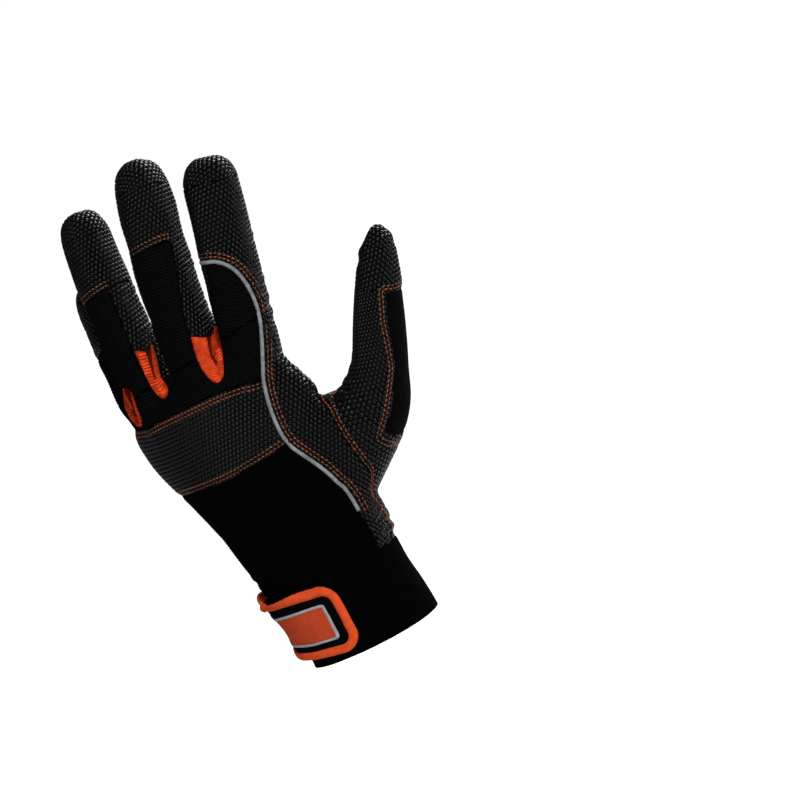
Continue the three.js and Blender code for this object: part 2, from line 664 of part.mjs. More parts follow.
// The piping stands proud of the seam that it fills.
const pipingLayer = gloveBody(PIPING_PROUD).subtract(gloveBody(-PIPING_DEPTH));
const pipingClear = cuffTop(SEAM_GAP).add(forksGrown).add(fingerBody(FINGERS[1], SEAM_GAP));
addPart("reflective_piping", pipingLayer.intersect(pipingRegion(0)).subtract(pipingClear), piping);

// The cuff, slit on the little finger's side under the strap.
const slit = upright(0, CUFF_WIDTH, -SLIT_WIDTH / 2, SLIT_WIDTH / 2, -MOUTH_OVERRUN, CUFF_HEIGHT - SLIT_STOP);
addPart("cuff", palmSkin.intersect(cuffTop(0)).subtract(slit.rotate([0, 0, SLIT_TURN_DEG])), fabric);

// Pads on the palm: a layer laid over the leather inside a drawn outline.
const padTop = gloveBody(SEAT_GAP + PAD_THICKNESS);
const padLayer = padTop.subtract(gloveBody(SEAT_GAP));
const UPPER_PAD = seam([
  [0.2, 0.734], [0.08, 0.809], [-0.17, 0.83], [-0.82, 0.816], [-1.08, 0.768], [-1.24, 0.707], [-1.27, 0.645],
  [-1.22, 0.577], [-0.55, 0.628], [0.0, 0.673],
]);
const HEEL_PAD = seam([
  [-0.21, 0.54], [-0.3, 0.57], [-0.5, 0.553], [-0.8, 0.53], [-1.05, 0.495], [-1.2, 0.441], [-1.02, 0.25],
  [-0.86, 0.07], [-0.62, 0.04], [-0.54, 0.045], [-0.47, 0.127], [-0.37, 0.305],
]);

function palmPad(outline) {
  const region = prism(outline.map(mirrored), PALM_TURN_DEG);
  return padLayer.intersect(region).subtract(backHalf(2 * SEAM_GAP)).subtract(thumbRegion(SEAM_GAP));
}

addPart("upper_palm_pad", palmPad(UPPER_PAD), leather);
addPart("heel_pad", palmPad(HEEL_PAD), leather);

// Pads on the fingers' fronts. From and to are shares of the finger's length, half is the share of its
// half width. The first of each finger is the fingertip's.
const FINGER_PADS = [
  { finger: 0, name: "index_tip_pad", from: 0.63, to: 0.93, half: 0.66 },
  { finger: 0, name: "index_middle_pad", from: 0.41, to: 0.52, half: 0.66 },
  { finger: 0, name: "index_lower_pad", from: 0.16, to: 0.28, half: 0.68 },
  { finger: 1, name: "middle_tip_pad", from: 0.6, to: 0.935, half: 0.64 },
  { finger: 1, name: "middle_middle_pad", from: 0.36, to: 0.47, half: 0.66 },
  { finger: 1, name: "middle_lower_pad", from: 0.13, to: 0.24, half: 0.66 },
  { finger: 2, name: "ring_tip_pad", from: 0.6, to: 0.93, half: 0.64 },
  { finger: 2, name: "ring_middle_pad", from: 0.37, to: 0.48, half: 0.7 },
  { finger: 2, name: "ring_lower_pad", from: 0.14, to: 0.26, half: 0.66 },
  { finger: 3, name: "little_tip_pad", from: 0.52, to: 0.92, half: 0.66 },
  { finger: 3, name: "little_lower_pad", from: 0.2, to: 0.37, half: 0.66 },
];

for (const pad of FINGER_PADS) {
  const finger = FINGERS[pad.finger];
  const corner = (PAD_CORNER * pad.half * finger.width) / 2 / finger.length;
  const rows = [
    { along: pad.from, half: 1 - PAD_CORNER },
    { along: pad.from + corner, half: 1 },
    { along: pad.to - corner, half: 1 },
    { along: pad.to, half: 1 - PAD_CORNER },
  ];
  const bar = limbBar(
    rows.map(({ along, half }) => {
      const reach = (half * pad.half * finger.width) / 2;
      const section = fingerSection(finger, along);
      const share = reach / section.halfWidth;
      return { section, from: -share, to: share, near: 0, far: LIMB_CLEAR };
    }),
  );
  const layer = fingerBody(finger, SEAT_GAP + PAD_THICKNESS).subtract(fingerBody(finger, SEAT_GAP));
  addPart(pad.name, layer.intersect(bar), leather);
}

// The strap's tab lies round the little finger's side of the cuff, ending on the back.
function cuffLayer(inner, outerOffset) {
  return handBody(outerOffset, -MOUTH_OVERRUN).subtract(handBody(inner, -2 * MOUTH_OVERRUN));
}

// The tab's outline on the plane of the back, drawn in from its edge by a margin, rounded at its free end.
function strapOutline(margin) {
  const low = STRAP_LIFT + margin;
  const high = STRAP_LIFT + STRAP_HEIGHT - margin;
  const end = STRAP_END - margin;
  const radius = Math.max(STRAP_CORNER - margin, STRAP_CORNER_LEAST);
  const points = [new THREE.Vector2(-STRAP_LENGTH, low + STRAP_RISE * STRAP_LENGTH)];
  const corner = (height, startAngle) => {
    for (let step = 0; step <= STRAP_CORNER_STEPS; step++) {
      const angle = startAngle + ((Math.PI / 2) * step) / STRAP_CORNER_STEPS;
      const across = end - radius + radius * Math.cos(angle);
      points.push(new THREE.Vector2(across, height + radius * Math.sin(angle)));
    }
  };
  corner(low + radius, -Math.PI / 2);
  corner(high - radius, 0);
  points.push(new THREE.Vector2(-STRAP_LENGTH, high + STRAP_RISE * STRAP_LENGTH));
  return points;
}

const strapSide = upright(-FAR, FAR, -FAR, CUFF_DEPTH / 6, -FAR, FAR);
const strapRegion = (margin) => prism(strapOutline(margin), BACK_TURN_DEG).intersect(strapSide);
addPart(
  "wrist_strap",
  cuffLayer(SEAT_GAP, SEAT_GAP + STRAP_THICKNESS).intersect(strapRegion(BINDING_WIDTH + SEAM_GAP)),
  fabric,
);
addPart(
  "strap_binding",
  cuffLayer(SEAT_GAP, SEAT_GAP + BINDING_THICKNESS)
    .intersect(strapRegion(0))
    .subtract(prism(strapOutline(BINDING_WIDTH), BACK_TURN_DEG)),
  orange,
);
const labelBase = 2 * SEAT_GAP + STRAP_THICKNESS;
addPart(
  "strap_label",
  cuffLayer(labelBase, labelBase + LABEL_THICKNESS).intersect(strapRegion(BINDING_WIDTH + LABEL_INSET)),
  label,
);

export default glove;
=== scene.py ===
"""The looks of a padded work glove for the left hand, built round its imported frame.

Everything is modelled in millimetres, from the same short tables as the frame's solids, and scaled to
metres when a mesh is made. One smooth skin is made for the whole glove, shaped with grooves and folds,
and cut along its seams into panels. Leather grain, ribs, stitches, piping and trim are laid on it.
"""
import math
import bpy
import numpy as np
from mathutils import Matrix, Vector
from mathutils.bvhtree import BVHTree


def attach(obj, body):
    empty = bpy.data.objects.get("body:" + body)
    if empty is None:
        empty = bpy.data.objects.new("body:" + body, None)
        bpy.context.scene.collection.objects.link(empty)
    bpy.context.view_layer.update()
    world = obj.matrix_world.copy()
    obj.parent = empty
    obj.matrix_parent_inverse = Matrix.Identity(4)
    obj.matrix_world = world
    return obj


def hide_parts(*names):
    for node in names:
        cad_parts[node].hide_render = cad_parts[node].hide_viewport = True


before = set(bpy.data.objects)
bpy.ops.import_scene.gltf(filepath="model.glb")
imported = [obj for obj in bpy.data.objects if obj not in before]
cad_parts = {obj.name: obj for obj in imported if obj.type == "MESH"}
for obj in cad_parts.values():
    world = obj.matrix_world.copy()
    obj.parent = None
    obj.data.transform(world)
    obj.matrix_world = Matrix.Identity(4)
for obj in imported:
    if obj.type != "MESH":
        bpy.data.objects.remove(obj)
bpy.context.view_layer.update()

MM = 0.001
# A distance that stands for out of reach
FAR = 99

# Driving sizes, in millimetres, as in the frame
CUFF_WIDTH = 65.5
CUFF_DEPTH = 48.0
CUFF_HEIGHT = 38.0
PALM_WIDTH = 97.0
PALM_DEPTH = 32.0
PALM_HEIGHT = 104.5
ROOT_TILT_DEG = 6.0
ROOT_CUT = 8.0
ROOT_HEIGHT = CUFF_HEIGHT + PALM_HEIGHT
THUMB_REACH = 94.0
THUMB_HEIGHT = 129.0
THUMB_WIDTH = 24.0
THUMB_TURN_DEG = 8.0
THUMB_OFFSET = 4.0
THUMB_SPLIT = 2.5
BACK_TURN_DEG = 27.0
WALL = 1.4
CUFF_WALL = 2.0
RIM_HEM = 1.0
WRIST_SIDE = 2.4

# The hand's sections: height, across, back, width, depth, turn, bow, tilt. The first two follow the
# cuff's sizes and the others the palm's.
CUFF_SECTIONS = [
    (-0.2, 0.0, 0.0, 1.0, 1.0),
    (0.0, 0.0, 0.0, 1.0, 1.0),
    (1.0, -0.022, 0.0, 0.985, 1.0),
]
PALM_SECTIONS = [
    (0.09, -0.026, 0.02, 0.73, 1.44, 0, 0.0, 0),
    (0.28, -0.066, 0.08, 0.79, 1.34, 2, 0.03, 0),
    (0.50, -0.113, 0.17, 0.905, 1.19, 6, 0.09, 0),
    (0.62, -0.148, 0.23, 0.995, 1.09, 8, 0.14, 0),
    (0.76, -0.179, 0.28, 1.05, 1.03, 11, 0.2, 2),
    (0.90, -0.221, 0.33, 1.0, 0.97, 13, 0.25, 5),
    (0.98, -0.221, 0.34, 0.93, 0.84, 13, 0.25, 6),
    (1.035, -0.221, 0.34, 0.8, 0.62, 13, 0.22, 6),
    (1.06, -0.221, 0.34, 0.6, 0.36, 13, 0.16, 6),
]
HAND_EXPONENT = 2.2

# The fingers: name, length, width, across, back, lean, sweep, curl, roll. Then where the ribbed back
# ends along the finger, how that end slants, and its half width on the thumb's side at the root and at
# its end, as shares of the finger's half width.
FINGERS = [
    ("index", 86.3, 25.5, 0.149, 0.06, 0.225, 0.12, 0.05, -12, 0.60, 0.0, 0.7, 0.7),
    ("middle", 98.8, 26.0, -0.132, 0.0, 0.13, 0.0, 0.19, 4, 0.609, 0.014, 0.6, 0.93),
    ("ring", 90.0, 24.5, -0.446, 0.16, 0.02, 0.08, 0.1, 20, 0.575, 0.018, 0.78, 0.85),
    ("little", 57.0, 21.0, -0.605, 0.62, -0.1, 0.25, 0.1, 42, 0.45, 0.02, 0.75, 0.8),
]
FINGER_OUTLINE = [
    (-0.24, 0.78, 0.74),
    (0.0, 1.0, 0.96),
    (0.3, 1.0, 0.96),
    (0.6, 0.98, 0.93),
    (0.82, 0.96, 0.88),
    (0.92, 0.88, 0.77),
    (0.97, 0.72, 0.6),
    (1.0, 0.46, 0.34),
]
FINGER_EXPONENT = 2.4
TIP_FOOT = 0.87
KNIT_HALF = 0.7
KNIT_ROOT = 0.35

# The thumb: reach, height, width, depth
THUMB_SECTIONS = [
    (0.09, 0.184, 1.3, 1.05),
    (0.205, 0.288, 1.66, 1.35),
    (0.375, 0.389, 1.75, 1.38),
    (0.525, 0.441, 1.44, 1.3),
    (0.655, 0.547, 1.1, 1.12),
    (0.743, 0.665, 0.98, 1.0),
    (0.818, 0.764, 0.91, 0.92),
    (0.885, 0.852, 0.81, 0.82),
    (0.943, 0.928, 0.66, 0.68),
    (0.978, 0.974, 0.42, 0.5),
    (0.995, 1, 0.2, 0.24),
]
THUMB_EXPONENT = 2.2
# The patch on the thumb's back: row of the thumb's table, start and turn. It covers what lies past the
# start, as a share of the thumb's half width, on an axis turned that far towards the palm.
PATCH_ROWS = [
    (2.85, -0.05, 42), (3.3, -0.05, 42), (3.6, 0.05, 38), (4.2, 0.25, 32), (4.8, 0.2, 30), (5.5, 0.1, 28),
    (6.42, 0.08, 27),
]

# Seams, as shares of half the palm's width and of the palm's height above the cuff
PIPING_LINE = [
    (0.27, 1.439), (0.4, 1.416), (0.5, 1.36), (0.543, 1.28), (0.533, 1.18), (0.47, 1.085), (0.34, 0.96),
    (0.245, 0.875), (0.178, 0.765), (0.15, 0.66), (0.166, 0.58), (0.235, 0.512), (0.327, 0.425),
    (0.388, 0.34), (0.43, 0.26), (0.435, -0.036),
]
UPPER_SEAM = [(-1.6, 0.88), (-1.08, 0.9), (-0.66, 0.914), (-0.14, 0.914), (0.2, 0.885), (0.6, 0.85)]
LOWER_SEAM = [(-1.6, 0.562), (-1.0, 0.562), (-0.56, 0.559), (-0.3, 0.566), (0.0, 0.581), (0.6, 0.61)]
THUMB_PALM_SEAM = [
    (0.79, 0.684), (0.6, 0.714), (0.38, 0.707), (0.17, 0.667), (0.02, 0.591), (-0.1, 0.475),
    (-0.17, 0.348), (-0.19, 0.234), (-0.13, 0.119), (0.0, 0.043), (0.21, 0.002), (0.5, 0.005),
    (0.76, 0.025),
]
THUMB_BACK_SEAM = [
    (0.6, 0.74), (0.635, 0.65), (0.632, 0.566), (0.637, 0.48), (0.668, 0.37), (0.705, 0.29), (0.78, 0.25),
]
THUMB_CLEAR = [(2.8, -0.091), (2.8, 1.409), (1.3, 1.409), (0.95, 0.905), (0.8, 0.727)]
UPPER_PAD = [
    (0.2, 0.734), (0.08, 0.809), (-0.17, 0.83), (-0.82, 0.816), (-1.08, 0.768), (-1.24, 0.707),
    (-1.27, 0.645), (-1.22, 0.577), (-0.55, 0.628), (0.0, 0.673),
]
HEEL_PAD = [
    (-0.21, 0.54), (-0.3, 0.57), (-0.5, 0.553), (-0.8, 0.53), (-1.05, 0.495), (-1.2, 0.441),
    (-1.02, 0.25), (-0.86, 0.07), (-0.62, 0.04), (-0.54, 0.045), (-0.47, 0.127), (-0.37, 0.305),
]

# The forks: name, across, back and turn of the plane that splits each, low, high and half width on the
# palm, and the outline on the back, drawn as the seams are
FORKS = [
    ("index_middle_fork", 0.005, 0.03, 4, 0.98, 1.082, 0.055, [
        (-0.15, 1.186), (0.022, 1.14), (0.105, 1.186), (0.06, 1.1), (-0.04, 0.99), (-0.1, 0.962),
        (-0.16, 0.962), (-0.205, 1.005), (-0.2, 1.09)]),
    ("middle_ring_fork", -0.61, 0.08, 12, 0.959, 1.095, 0.06, [
        (-0.69, 1.234), (-0.565, 1.2), (-0.51, 1.245), (-0.535, 1.155), (-0.58, 1.08), (-0.59, 1.028),
        (-0.64, 0.999), (-0.69, 1.0), (-0.715, 1.058), (-0.705, 1.15)]),
    ("ring_little_fork", -1.065, 0.4, 42, 0.905, 1.041, 0.06, [
        (-0.98, 1.11), (-0.92, 1.08), (-0.94, 1.0), (-0.95, 0.955), (-0.99, 0.925), (-1.04, 0.915),
        (-1.075, 0.95), (-1.06, 1.02)]),
]
# The fold down each fork's middle, on the back
FORK_CREASES = [
    [(0.05, 1.2), (-0.03, 1.1), (-0.12, 0.99)],
    [(-0.54, 1.25), (-0.6, 1.14), (-0.65, 1.03)],
    [(-0.95, 1.1), (-0.99, 1.02), (-1.01, 0.95)],
]
FORK_FOOT = 0.45
FORK_OUTLINE_REACH = 3.0
FORK_FRONT_REACH = 1.0
FORK_TURN_AWAY = 12
# Half width of the fold's shadow at its lower and upper end
FOLD_LOW, FOLD_HIGH = 0.1, 1.3

# The wrist strap: webbing, a rounded binding along its edge and a bare woven label with a border
STRAP_HEIGHT = 0.84 * CUFF_HEIGHT
STRAP_LENGTH = 52.0
STRAP_LIFT = 4.6
STRAP_CORNER = 8.0
STRAP_END = -4.9
STRAP_RISE = 0.12
# How far it climbs round the wrist's side, stands off there, and lies over the cuff
STRAP_CLIMB = 4.0
STRAP_CLIMB_SPAN = (-15, -2)
STRAP_STAND = 2.4
STRAP_STAND_SPAN = (-8, -32)
STRAP_OUT = 2.2
STRAP_THICK = 1.6
BINDING_WIDTH = 4.0
BINDING_ROUND = 1.2
LABEL_INSET = 3.4
LABEL_EDGE = 1.1
# How far the label and its border lie over the strap, and their thickness
LABEL_OUT, LABEL_THICK = 0.5, 0.6
BORDER_OUT, BORDER_THICK = 0.7, 0.8

# The finger pads: finger, name, from, to, half
FINGER_PADS = [
    (0, "index_tip_pad", 0.63, 0.965, 0.84),
    (0, "index_middle_pad", 0.41, 0.52, 0.66),
    (0, "index_lower_pad", 0.16, 0.28, 0.68),
    (1, "middle_tip_pad", 0.6, 0.965, 0.8),
    (1, "middle_middle_pad", 0.36, 0.47, 0.66),
    (1, "middle_lower_pad", 0.13, 0.24, 0.66),
    (2, "ring_tip_pad", 0.6, 0.96, 0.72),
    (2, "ring_middle_pad", 0.37, 0.48, 0.7),
    (2, "ring_lower_pad", 0.14, 0.26, 0.66),
    (3, "little_tip_pad", 0.52, 0.95, 0.7),
    (3, "little_lower_pad", 0.2, 0.37, 0.66),
]
PAD_CORNER = 3.0
TIP_CORNER = 0.75
PAD_BASE = 0.25
PAD_WALL = 1.0
# The pads' cloth: it is blown up at ten times its size
PUFF_SCALE = 10.0
PUFF_HELD = 0.9
PUFF_FRAMES = 14
PUFF_MOST = 2.2
PUFF_SETTINGS = {
    "vertex_group_mass": "held", "mass": 0.3, "quality": 6, "air_damping": 8.0, "tension_stiffness": 12.0,
    "compression_stiffness": 12.0, "use_pressure": True, "uniform_pressure_force": 4.0,
}
# Lines of stitches drawn on the palm: across and height in shares, as the seams
PALM_LINES = [
    [(0.25, 0.641), (0.1, 0.517), (0.0, 0.383)],
    [(1.01, 0.995), (0.866, 0.861), (0.70, 0.766), (0.66, 0.737)],
]

# Surface detail
VOXEL = 1.0
GRAIN_PITCH = 2.27
GRAIN_RISE = 0.38
GRAIN_SHARE = 0.84
# A cell's flat top as a share of its foot, and how far its foot sinks
GRAIN_TOP = 0.74
GRAIN_SINK = 0.12
# Cells are left out where the flattened sheet is stretched past these shares
GRAIN_LIMITS = (0.5, 1.8)
RIB_PITCH = 1.35
RIB_RISE = 0.22
FORK_RIB_PITCH = 1.0
FORK_RIB_RISE = 0.24
STITCH_PITCH = 2.2
STITCH_LENGTH = 1.7
STITCH_RADIUS = 0.27
STITCH_LIFT = 0.12
STITCH_TWIST = 0.12
STITCH_SEED = 1
STITCH_SIDES = 6
# How far from each seam its rows of stitches run. The sign tells the seam's side.
STITCH_ROWS = {
    "thumb": (1.2, 2.9), "patch": (-1.7, -3.2), "cap": (1.0, 2.7), "upper": (-1.3, -3.0),
    "lower": (1.2, 2.9), "piping": (2.3, 4.0),
}
PAD_STITCH = 0.75
# A stitch's shape: along, width and height, as shares of its length and radius
STITCH_PROFILE = [
    (-0.5, 0.25, -0.55), (-0.4, 0.85, -0.1), (0.0, 1.0, 0.25), (0.4, 0.85, -0.1), (0.5, 0.25, -0.55),
]
PIPING_RADIUS = 0.95
# Heights above the cuff where the piping and its stitches end
PIPING_STOP = 19.5
PIPING_STITCH_STOP = 18.0


# Small numeric helpers


def smoothstep(low, high, value):
    share = np.clip((value - low) / (high - low), 0, 1)
    return share * share * (3 - 2 * share)


def curve(xs, ys, x):
    """A smooth curve through the points (xs, ys), read at x."""
    xs, ys = np.asarray(xs, float), np.asarray(ys, float)
    slope = np.gradient(ys, xs)
    x = np.clip(x, xs[0], xs[-1])
    i = np.clip(np.searchsorted(xs, x) - 1, 0, len(xs) - 2)
    step = xs[i + 1] - xs[i]
    t = (x - xs[i]) / step
    h00 = (1 + 2 * t) * (1 - t) ** 2
    h10 = t * (1 - t) ** 2
    h01 = t * t * (3 - 2 * t)
    h11 = t * t * (t - 1)
    return h00 * ys[i] + h10 * step * slope[i] + h01 * ys[i + 1] + h11 * step * slope[i + 1]


def column(rows, index):
    return [row[index] for row in rows]


def unit(v):
    return v / np.maximum(np.linalg.norm(v, axis=-1, keepdims=True), 1e-12)


def dot(a, b):
    return (a * b).sum(axis=-1)


def seam_points(rows, steps=4):
    """A seam's rows as a smooth line of points in millimetres."""
    points = np.array(rows) * (PALM_WIDTH / 2, PALM_HEIGHT) + (0, CUFF_HEIGHT)
    if steps == 1:
        return points
    at = np.arange(len(points))
    fine = np.linspace(0, len(points) - 1, (len(points) - 1) * steps + 1)
    return np.stack([curve(at, points[:, 0], fine), curve(at, points[:, 1], fine)], axis=1)


def closed_seam(rows):
    """A closed seam's rows as a smooth outline in millimetres."""
    return seam_points(rows + rows[:1])[:-1]


def line_field(px, py, line):
    """Distance of each point from a line, positive on the left of its direction."""
    best = np.full(len(px), 1e9)
    side = np.ones(len(px))
    for (ax, ay), (bx, by) in zip(line[:-1], line[1:]):
        dx, dy = bx - ax, by - ay
        t = np.clip(((px - ax) * dx + (py - ay) * dy) / (dx * dx + dy * dy), 0, 1)
        ox, oy = px - ax - t * dx, py - ay - t * dy
        distance = np.hypot(ox, oy)
        nearer = distance < best - 1e-9
        best = np.where(nearer, distance, best)
        side = np.where(nearer, np.sign(dx * oy - dy * ox), side)
    return best * np.where(side == 0, 1, side)


def outline_field(px, py, outline):
    """Distance from a closed outline, positive inside."""
    closed = np.vstack([outline, outline[:1]])
    best = np.full(len(px), 1e9)
    inside = np.zeros(len(px), bool)
    for (ax, ay), (bx, by) in zip(closed[:-1], closed[1:]):
        dx, dy = bx - ax, by - ay
        t = np.clip(((px - ax) * dx + (py - ay) * dy) / (dx * dx + dy * dy + 1e-12), 0, 1)
        best = np.minimum(best, np.hypot(px - ax - t * dx, py - ay - t * dy))
        crosses = (ay > py) != (by > py)
        at = ax + (py - ay) * dx / np.where(dy == 0, 1e-12, dy)
        inside ^= crosses & (px < at)
    return np.where(inside, best, -best)


def ripple(points, scale, seed):
    """Smooth noise from a few sine waves in seeded directions, between about -1 and 1."""
    rng = np.random.RandomState(seed)
    total = np.zeros(len(points))
    for _ in range(7):
        direction = unit(rng.normal(size=3))
        phase = points @ direction * (2 * math.pi / scale)
        total += np.sin(phase * rng.uniform(0.6, 1.6) + rng.uniform(0, 6.3))
    return total / 3.5


# The glove's sections


def hand_section(z):
    """The hand's section at each height."""
    cuff = [(row[0] * CUFF_HEIGHT, row[1] * CUFF_WIDTH, row[2] * CUFF_DEPTH, row[3] * CUFF_WIDTH / 2,
             row[4] * CUFF_DEPTH / 2, 0, 0, 0) for row in CUFF_SECTIONS]
    palm = [(CUFF_HEIGHT + row[0] * PALM_HEIGHT, row[1] * PALM_WIDTH, row[2] * PALM_DEPTH,
             row[3] * PALM_WIDTH / 2, row[4] * PALM_DEPTH / 2, math.radians(row[5]), row[6] * PALM_DEPTH,
             math.tan(math.radians(row[7]))) for row in PALM_SECTIONS]
    rows = cuff + palm
    heights = column(rows, 0)
    x, y, width, depth, turn, bow, climb = (curve(heights, column(rows, k), z) for k in range(1, 8))
    across = np.stack([np.cos(turn), -np.sin(turn), np.zeros_like(turn)], axis=-1)
    palmward = np.stack([np.sin(turn), np.cos(turn), np.zeros_like(turn)], axis=-1)
    centre = np.stack([x, y, np.asarray(z, float) + 0 * x], axis=-1)
    return {"centre": centre, "across": across, "palmward": palmward, "width": width, "depth": depth,
            "bow": bow, "climb": climb}


def finger_section(finger, along):
    """A finger's section at each share of its length."""
    _, length, width, across_share, back, lean, sweep, curl, roll = finger[:9]
    along = np.asarray(along, float)
    up = along * length
    bend = np.where(up > 0, curl * along, 0)
    centre = np.stack([
        across_share * PALM_WIDTH + lean * up,
        back * PALM_DEPTH + (sweep + bend) * up,
        ROOT_HEIGHT + up,
    ], axis=-1)
    onward = unit(np.stack([np.full_like(up, lean), sweep + 2 * bend, np.ones_like(up)], axis=-1))
    flat = unit(np.array([1.0, 0, 0]) - onward * onward[..., :1])
    angle = -math.radians(roll)
    across = flat * math.cos(angle) + np.cross(onward, flat) * math.sin(angle)
    at = column(FINGER_OUTLINE, 0)
    return {"centre": centre, "onward": onward, "across": across, "palmward": np.cross(onward, across),
            "width": curve(at, column(FINGER_OUTLINE, 1), along) * width / 2,
            "depth": curve(at, column(FINGER_OUTLINE, 2), along) * width / 2}


def thumb_section(row):
    """The thumb's section at each row of its table, which may lie between two."""
    row = np.asarray(row, float)
    at = np.arange(len(THUMB_SECTIONS))
    out = lambda r: curve(at, column(THUMB_SECTIONS, 0), r) * THUMB_REACH
    up = lambda r: CUFF_HEIGHT + curve(at, column(THUMB_SECTIONS, 1), r) * THUMB_HEIGHT
    turn = math.radians(THUMB_TURN_DEG)
    outward = np.array([math.cos(turn), math.sin(turn), 0.0])
    before, after = np.maximum(row - 0.5, 0), np.minimum(row + 0.5, len(at) - 1)
    onward = outward * (out(after) - out(before))[..., None]
    onward = unit(onward + np.array([0, 0, 1.0]) * (up(after) - up(before))[..., None])
    palmward = np.broadcast_to([-outward[1], outward[0], 0.0], onward.shape)
    centre = outward * out(row)[..., None] + np.array([0, 0, 1.0]) * up(row)[..., None]
    centre = centre + np.array([0, THUMB_OFFSET, 0])
    return {"centre": centre, "onward": onward, "across": np.cross(palmward, onward), "palmward": palmward,
            "width": curve(at, column(THUMB_SECTIONS, 2), row) * THUMB_WIDTH / 2,
            "depth": curve(at, column(THUMB_SECTIONS, 3), row) * THUMB_WIDTH / 2}


def rings(section, sides, exponent, offset=0.0):
    """Points round each section, as an array of rings."""
    angle = np.linspace(0, 2 * math.pi, sides, endpoint=False)
    c = np.sign(np.cos(angle)) * np.abs(np.cos(angle)) ** (2 / exponent)
    s = np.sign(np.sin(angle)) * np.abs(np.sin(angle)) ** (2 / exponent)
    x = (section["width"][:, None] + offset) * c
    y = (section["depth"][:, None] + offset) * s
    if "bow" in section:
        y = y - section["bow"][:, None] * (1 - (x / section["width"][:, None]) ** 2)
    points = section["centre"][:, None] + section["across"][:, None] * x[..., None]
    points = points + section["palmward"][:, None] * y[..., None]
    if "climb" in section:
        points[..., 2] += section["climb"][:, None] * x
    return points


def loft(points):
    """Vertices and triangles of a closed solid through rings."""
    count, sides = points.shape[:2]
    verts = points.reshape(-1, 3)
    r, s = np.meshgrid(np.arange(count - 1), np.arange(sides), indexing="ij")
    a = (r * sides + s).ravel()
    b = (r * sides + (s + 1) % sides).ravel()
    tris = np.concatenate([np.stack([a, b, b + sides], 1), np.stack([a, b + sides, a + sides], 1)])
    hubs = np.array([points[0].mean(0), points[-1].mean(0)])
    low, high = len(verts), len(verts) + 1
    k = np.arange(sides)
    first = np.stack([np.full(sides, low), (k + 1) % sides, k], 1)
    base = (count - 1) * sides
    last = np.stack([np.full(sides, high), base + k, base + (k + 1) % sides], 1)
    return np.vstack([verts, hubs]), np.vstack([tris, first, last])


def joined(parts):
    """Several bodies as one."""
    verts, tris, start = [], [], 0
    for v, t in parts:
        verts.append(v)
        tris.append(t + start)
        start += len(v)
    return np.vstack(verts), np.vstack(tris)


# Blender objects from arrays


def new_object(name, verts, faces, smooth=True, scale=MM):
    mesh = bpy.data.meshes.new(name)
    mesh.from_pydata((np.asarray(verts) * scale).tolist(), [], np.asarray(faces).tolist())
    mesh.polygons.foreach_set("use_smooth", [smooth] * len(mesh.polygons))
    mesh.update()
    obj = bpy.data.objects.new(name, mesh)
    bpy.context.scene.collection.objects.link(obj)
    return obj


def evaluated(obj):
    """Vertices in millimetres and triangles of an object with its modifiers."""
    graph = bpy.context.evaluated_depsgraph_get()
    mesh = obj.evaluated_get(graph).to_mesh()
    mesh.calc_loop_triangles()
    verts = np.empty(len(mesh.vertices) * 3)
    mesh.vertices.foreach_get("co", verts)
    tris = np.empty(len(mesh.loop_triangles) * 3, np.int64)
    mesh.loop_triangles.foreach_get("vertices", tris)
    obj.evaluated_get(graph).to_mesh_clear()
    return verts.reshape(-1, 3) / MM, tris.reshape(-1, 3)


def normals_of(verts, tris):
    face = np.cross(verts[tris[:, 1]] - verts[tris[:, 0]], verts[tris[:, 2]] - verts[tris[:, 0]])
    total = np.zeros_like(verts)
    for k in range(3):
        np.add.at(total, tris[:, k], face)
    return unit(total)


def make_skin():
    """The hand, fingers and thumb melted into one smooth skin."""
    hand = hand_section(np.linspace(-0.18 * CUFF_HEIGHT, CUFF_HEIGHT + 1.06 * PALM_HEIGHT, 120))
    parts = [loft(rings(hand, 96, HAND_EXPONENT))]
    along = np.concatenate([np.linspace(-0.24, 0.85, 50), np.linspace(0.86, 1.0, 20)])
    for finger in FINGERS:
        parts.append(loft(rings(finger_section(finger, along), 56, FINGER_EXPONENT)))
    thumb = thumb_section(np.linspace(0, len(THUMB_SECTIONS) - 1, 90))
    parts.append(loft(rings(thumb, 64, THUMB_EXPONENT)))
    rough = new_object("rough_skin", *joined(parts))
    remesh = rough.modifiers.new("remesh", "REMESH")
    remesh.mode = "VOXEL"
    remesh.voxel_size = VOXEL * MM
    smooth = rough.modifiers.new("smooth", "SMOOTH")
    smooth.factor = 0.5
    smooth.iterations = 22
    verts, tris = evaluated(rough)
    bpy.data.objects.remove(rough)
    return verts, tris


# Where each point of the skin lies


def hand_place(p):
    """Where points lie in the hand's sections."""
    z = p[:, 2].copy()
    for _ in range(3):
        s = hand_section(z)
        x = dot(p - s["centre"], s["across"])
        z = p[:, 2] - s["climb"] * x
    s = hand_section(z)
    offset = p - s["centre"]
    x = dot(offset, s["across"])
    y = dot(offset, s["palmward"]) + s["bow"] * (1 - np.clip(x / s["width"], -1, 1) ** 2)
    return {"x": x, "y": y, "z": z, "width": s["width"], "depth": s["depth"]}


def finger_place(finger, p):
    """Where points lie along a finger and in its sections, and how far away."""
    length = finger[1]
    along = (p[:, 2] - ROOT_HEIGHT) / length
    for _ in range(4):
        s = finger_section(finger, along)
        along = along + dot(p - s["centre"], s["onward"]) / length * s["onward"][:, 2]
    s = finger_section(finger, np.clip(along, -0.6, 1.1))
    offset = p - s["centre"]
    x, y = dot(offset, s["across"]), dot(offset, s["palmward"])
    reach = ((np.abs(x) / s["width"]) ** 2.4 + (np.abs(y) / s["depth"]) ** 2.4) ** (1 / 2.4)
    away = (reach - 1) * s["width"] + 40 * np.maximum(along - 1.1, 0)
    return {"x": x, "y": y, "along": along, "width": s["width"], "depth": s["depth"], "away": away}


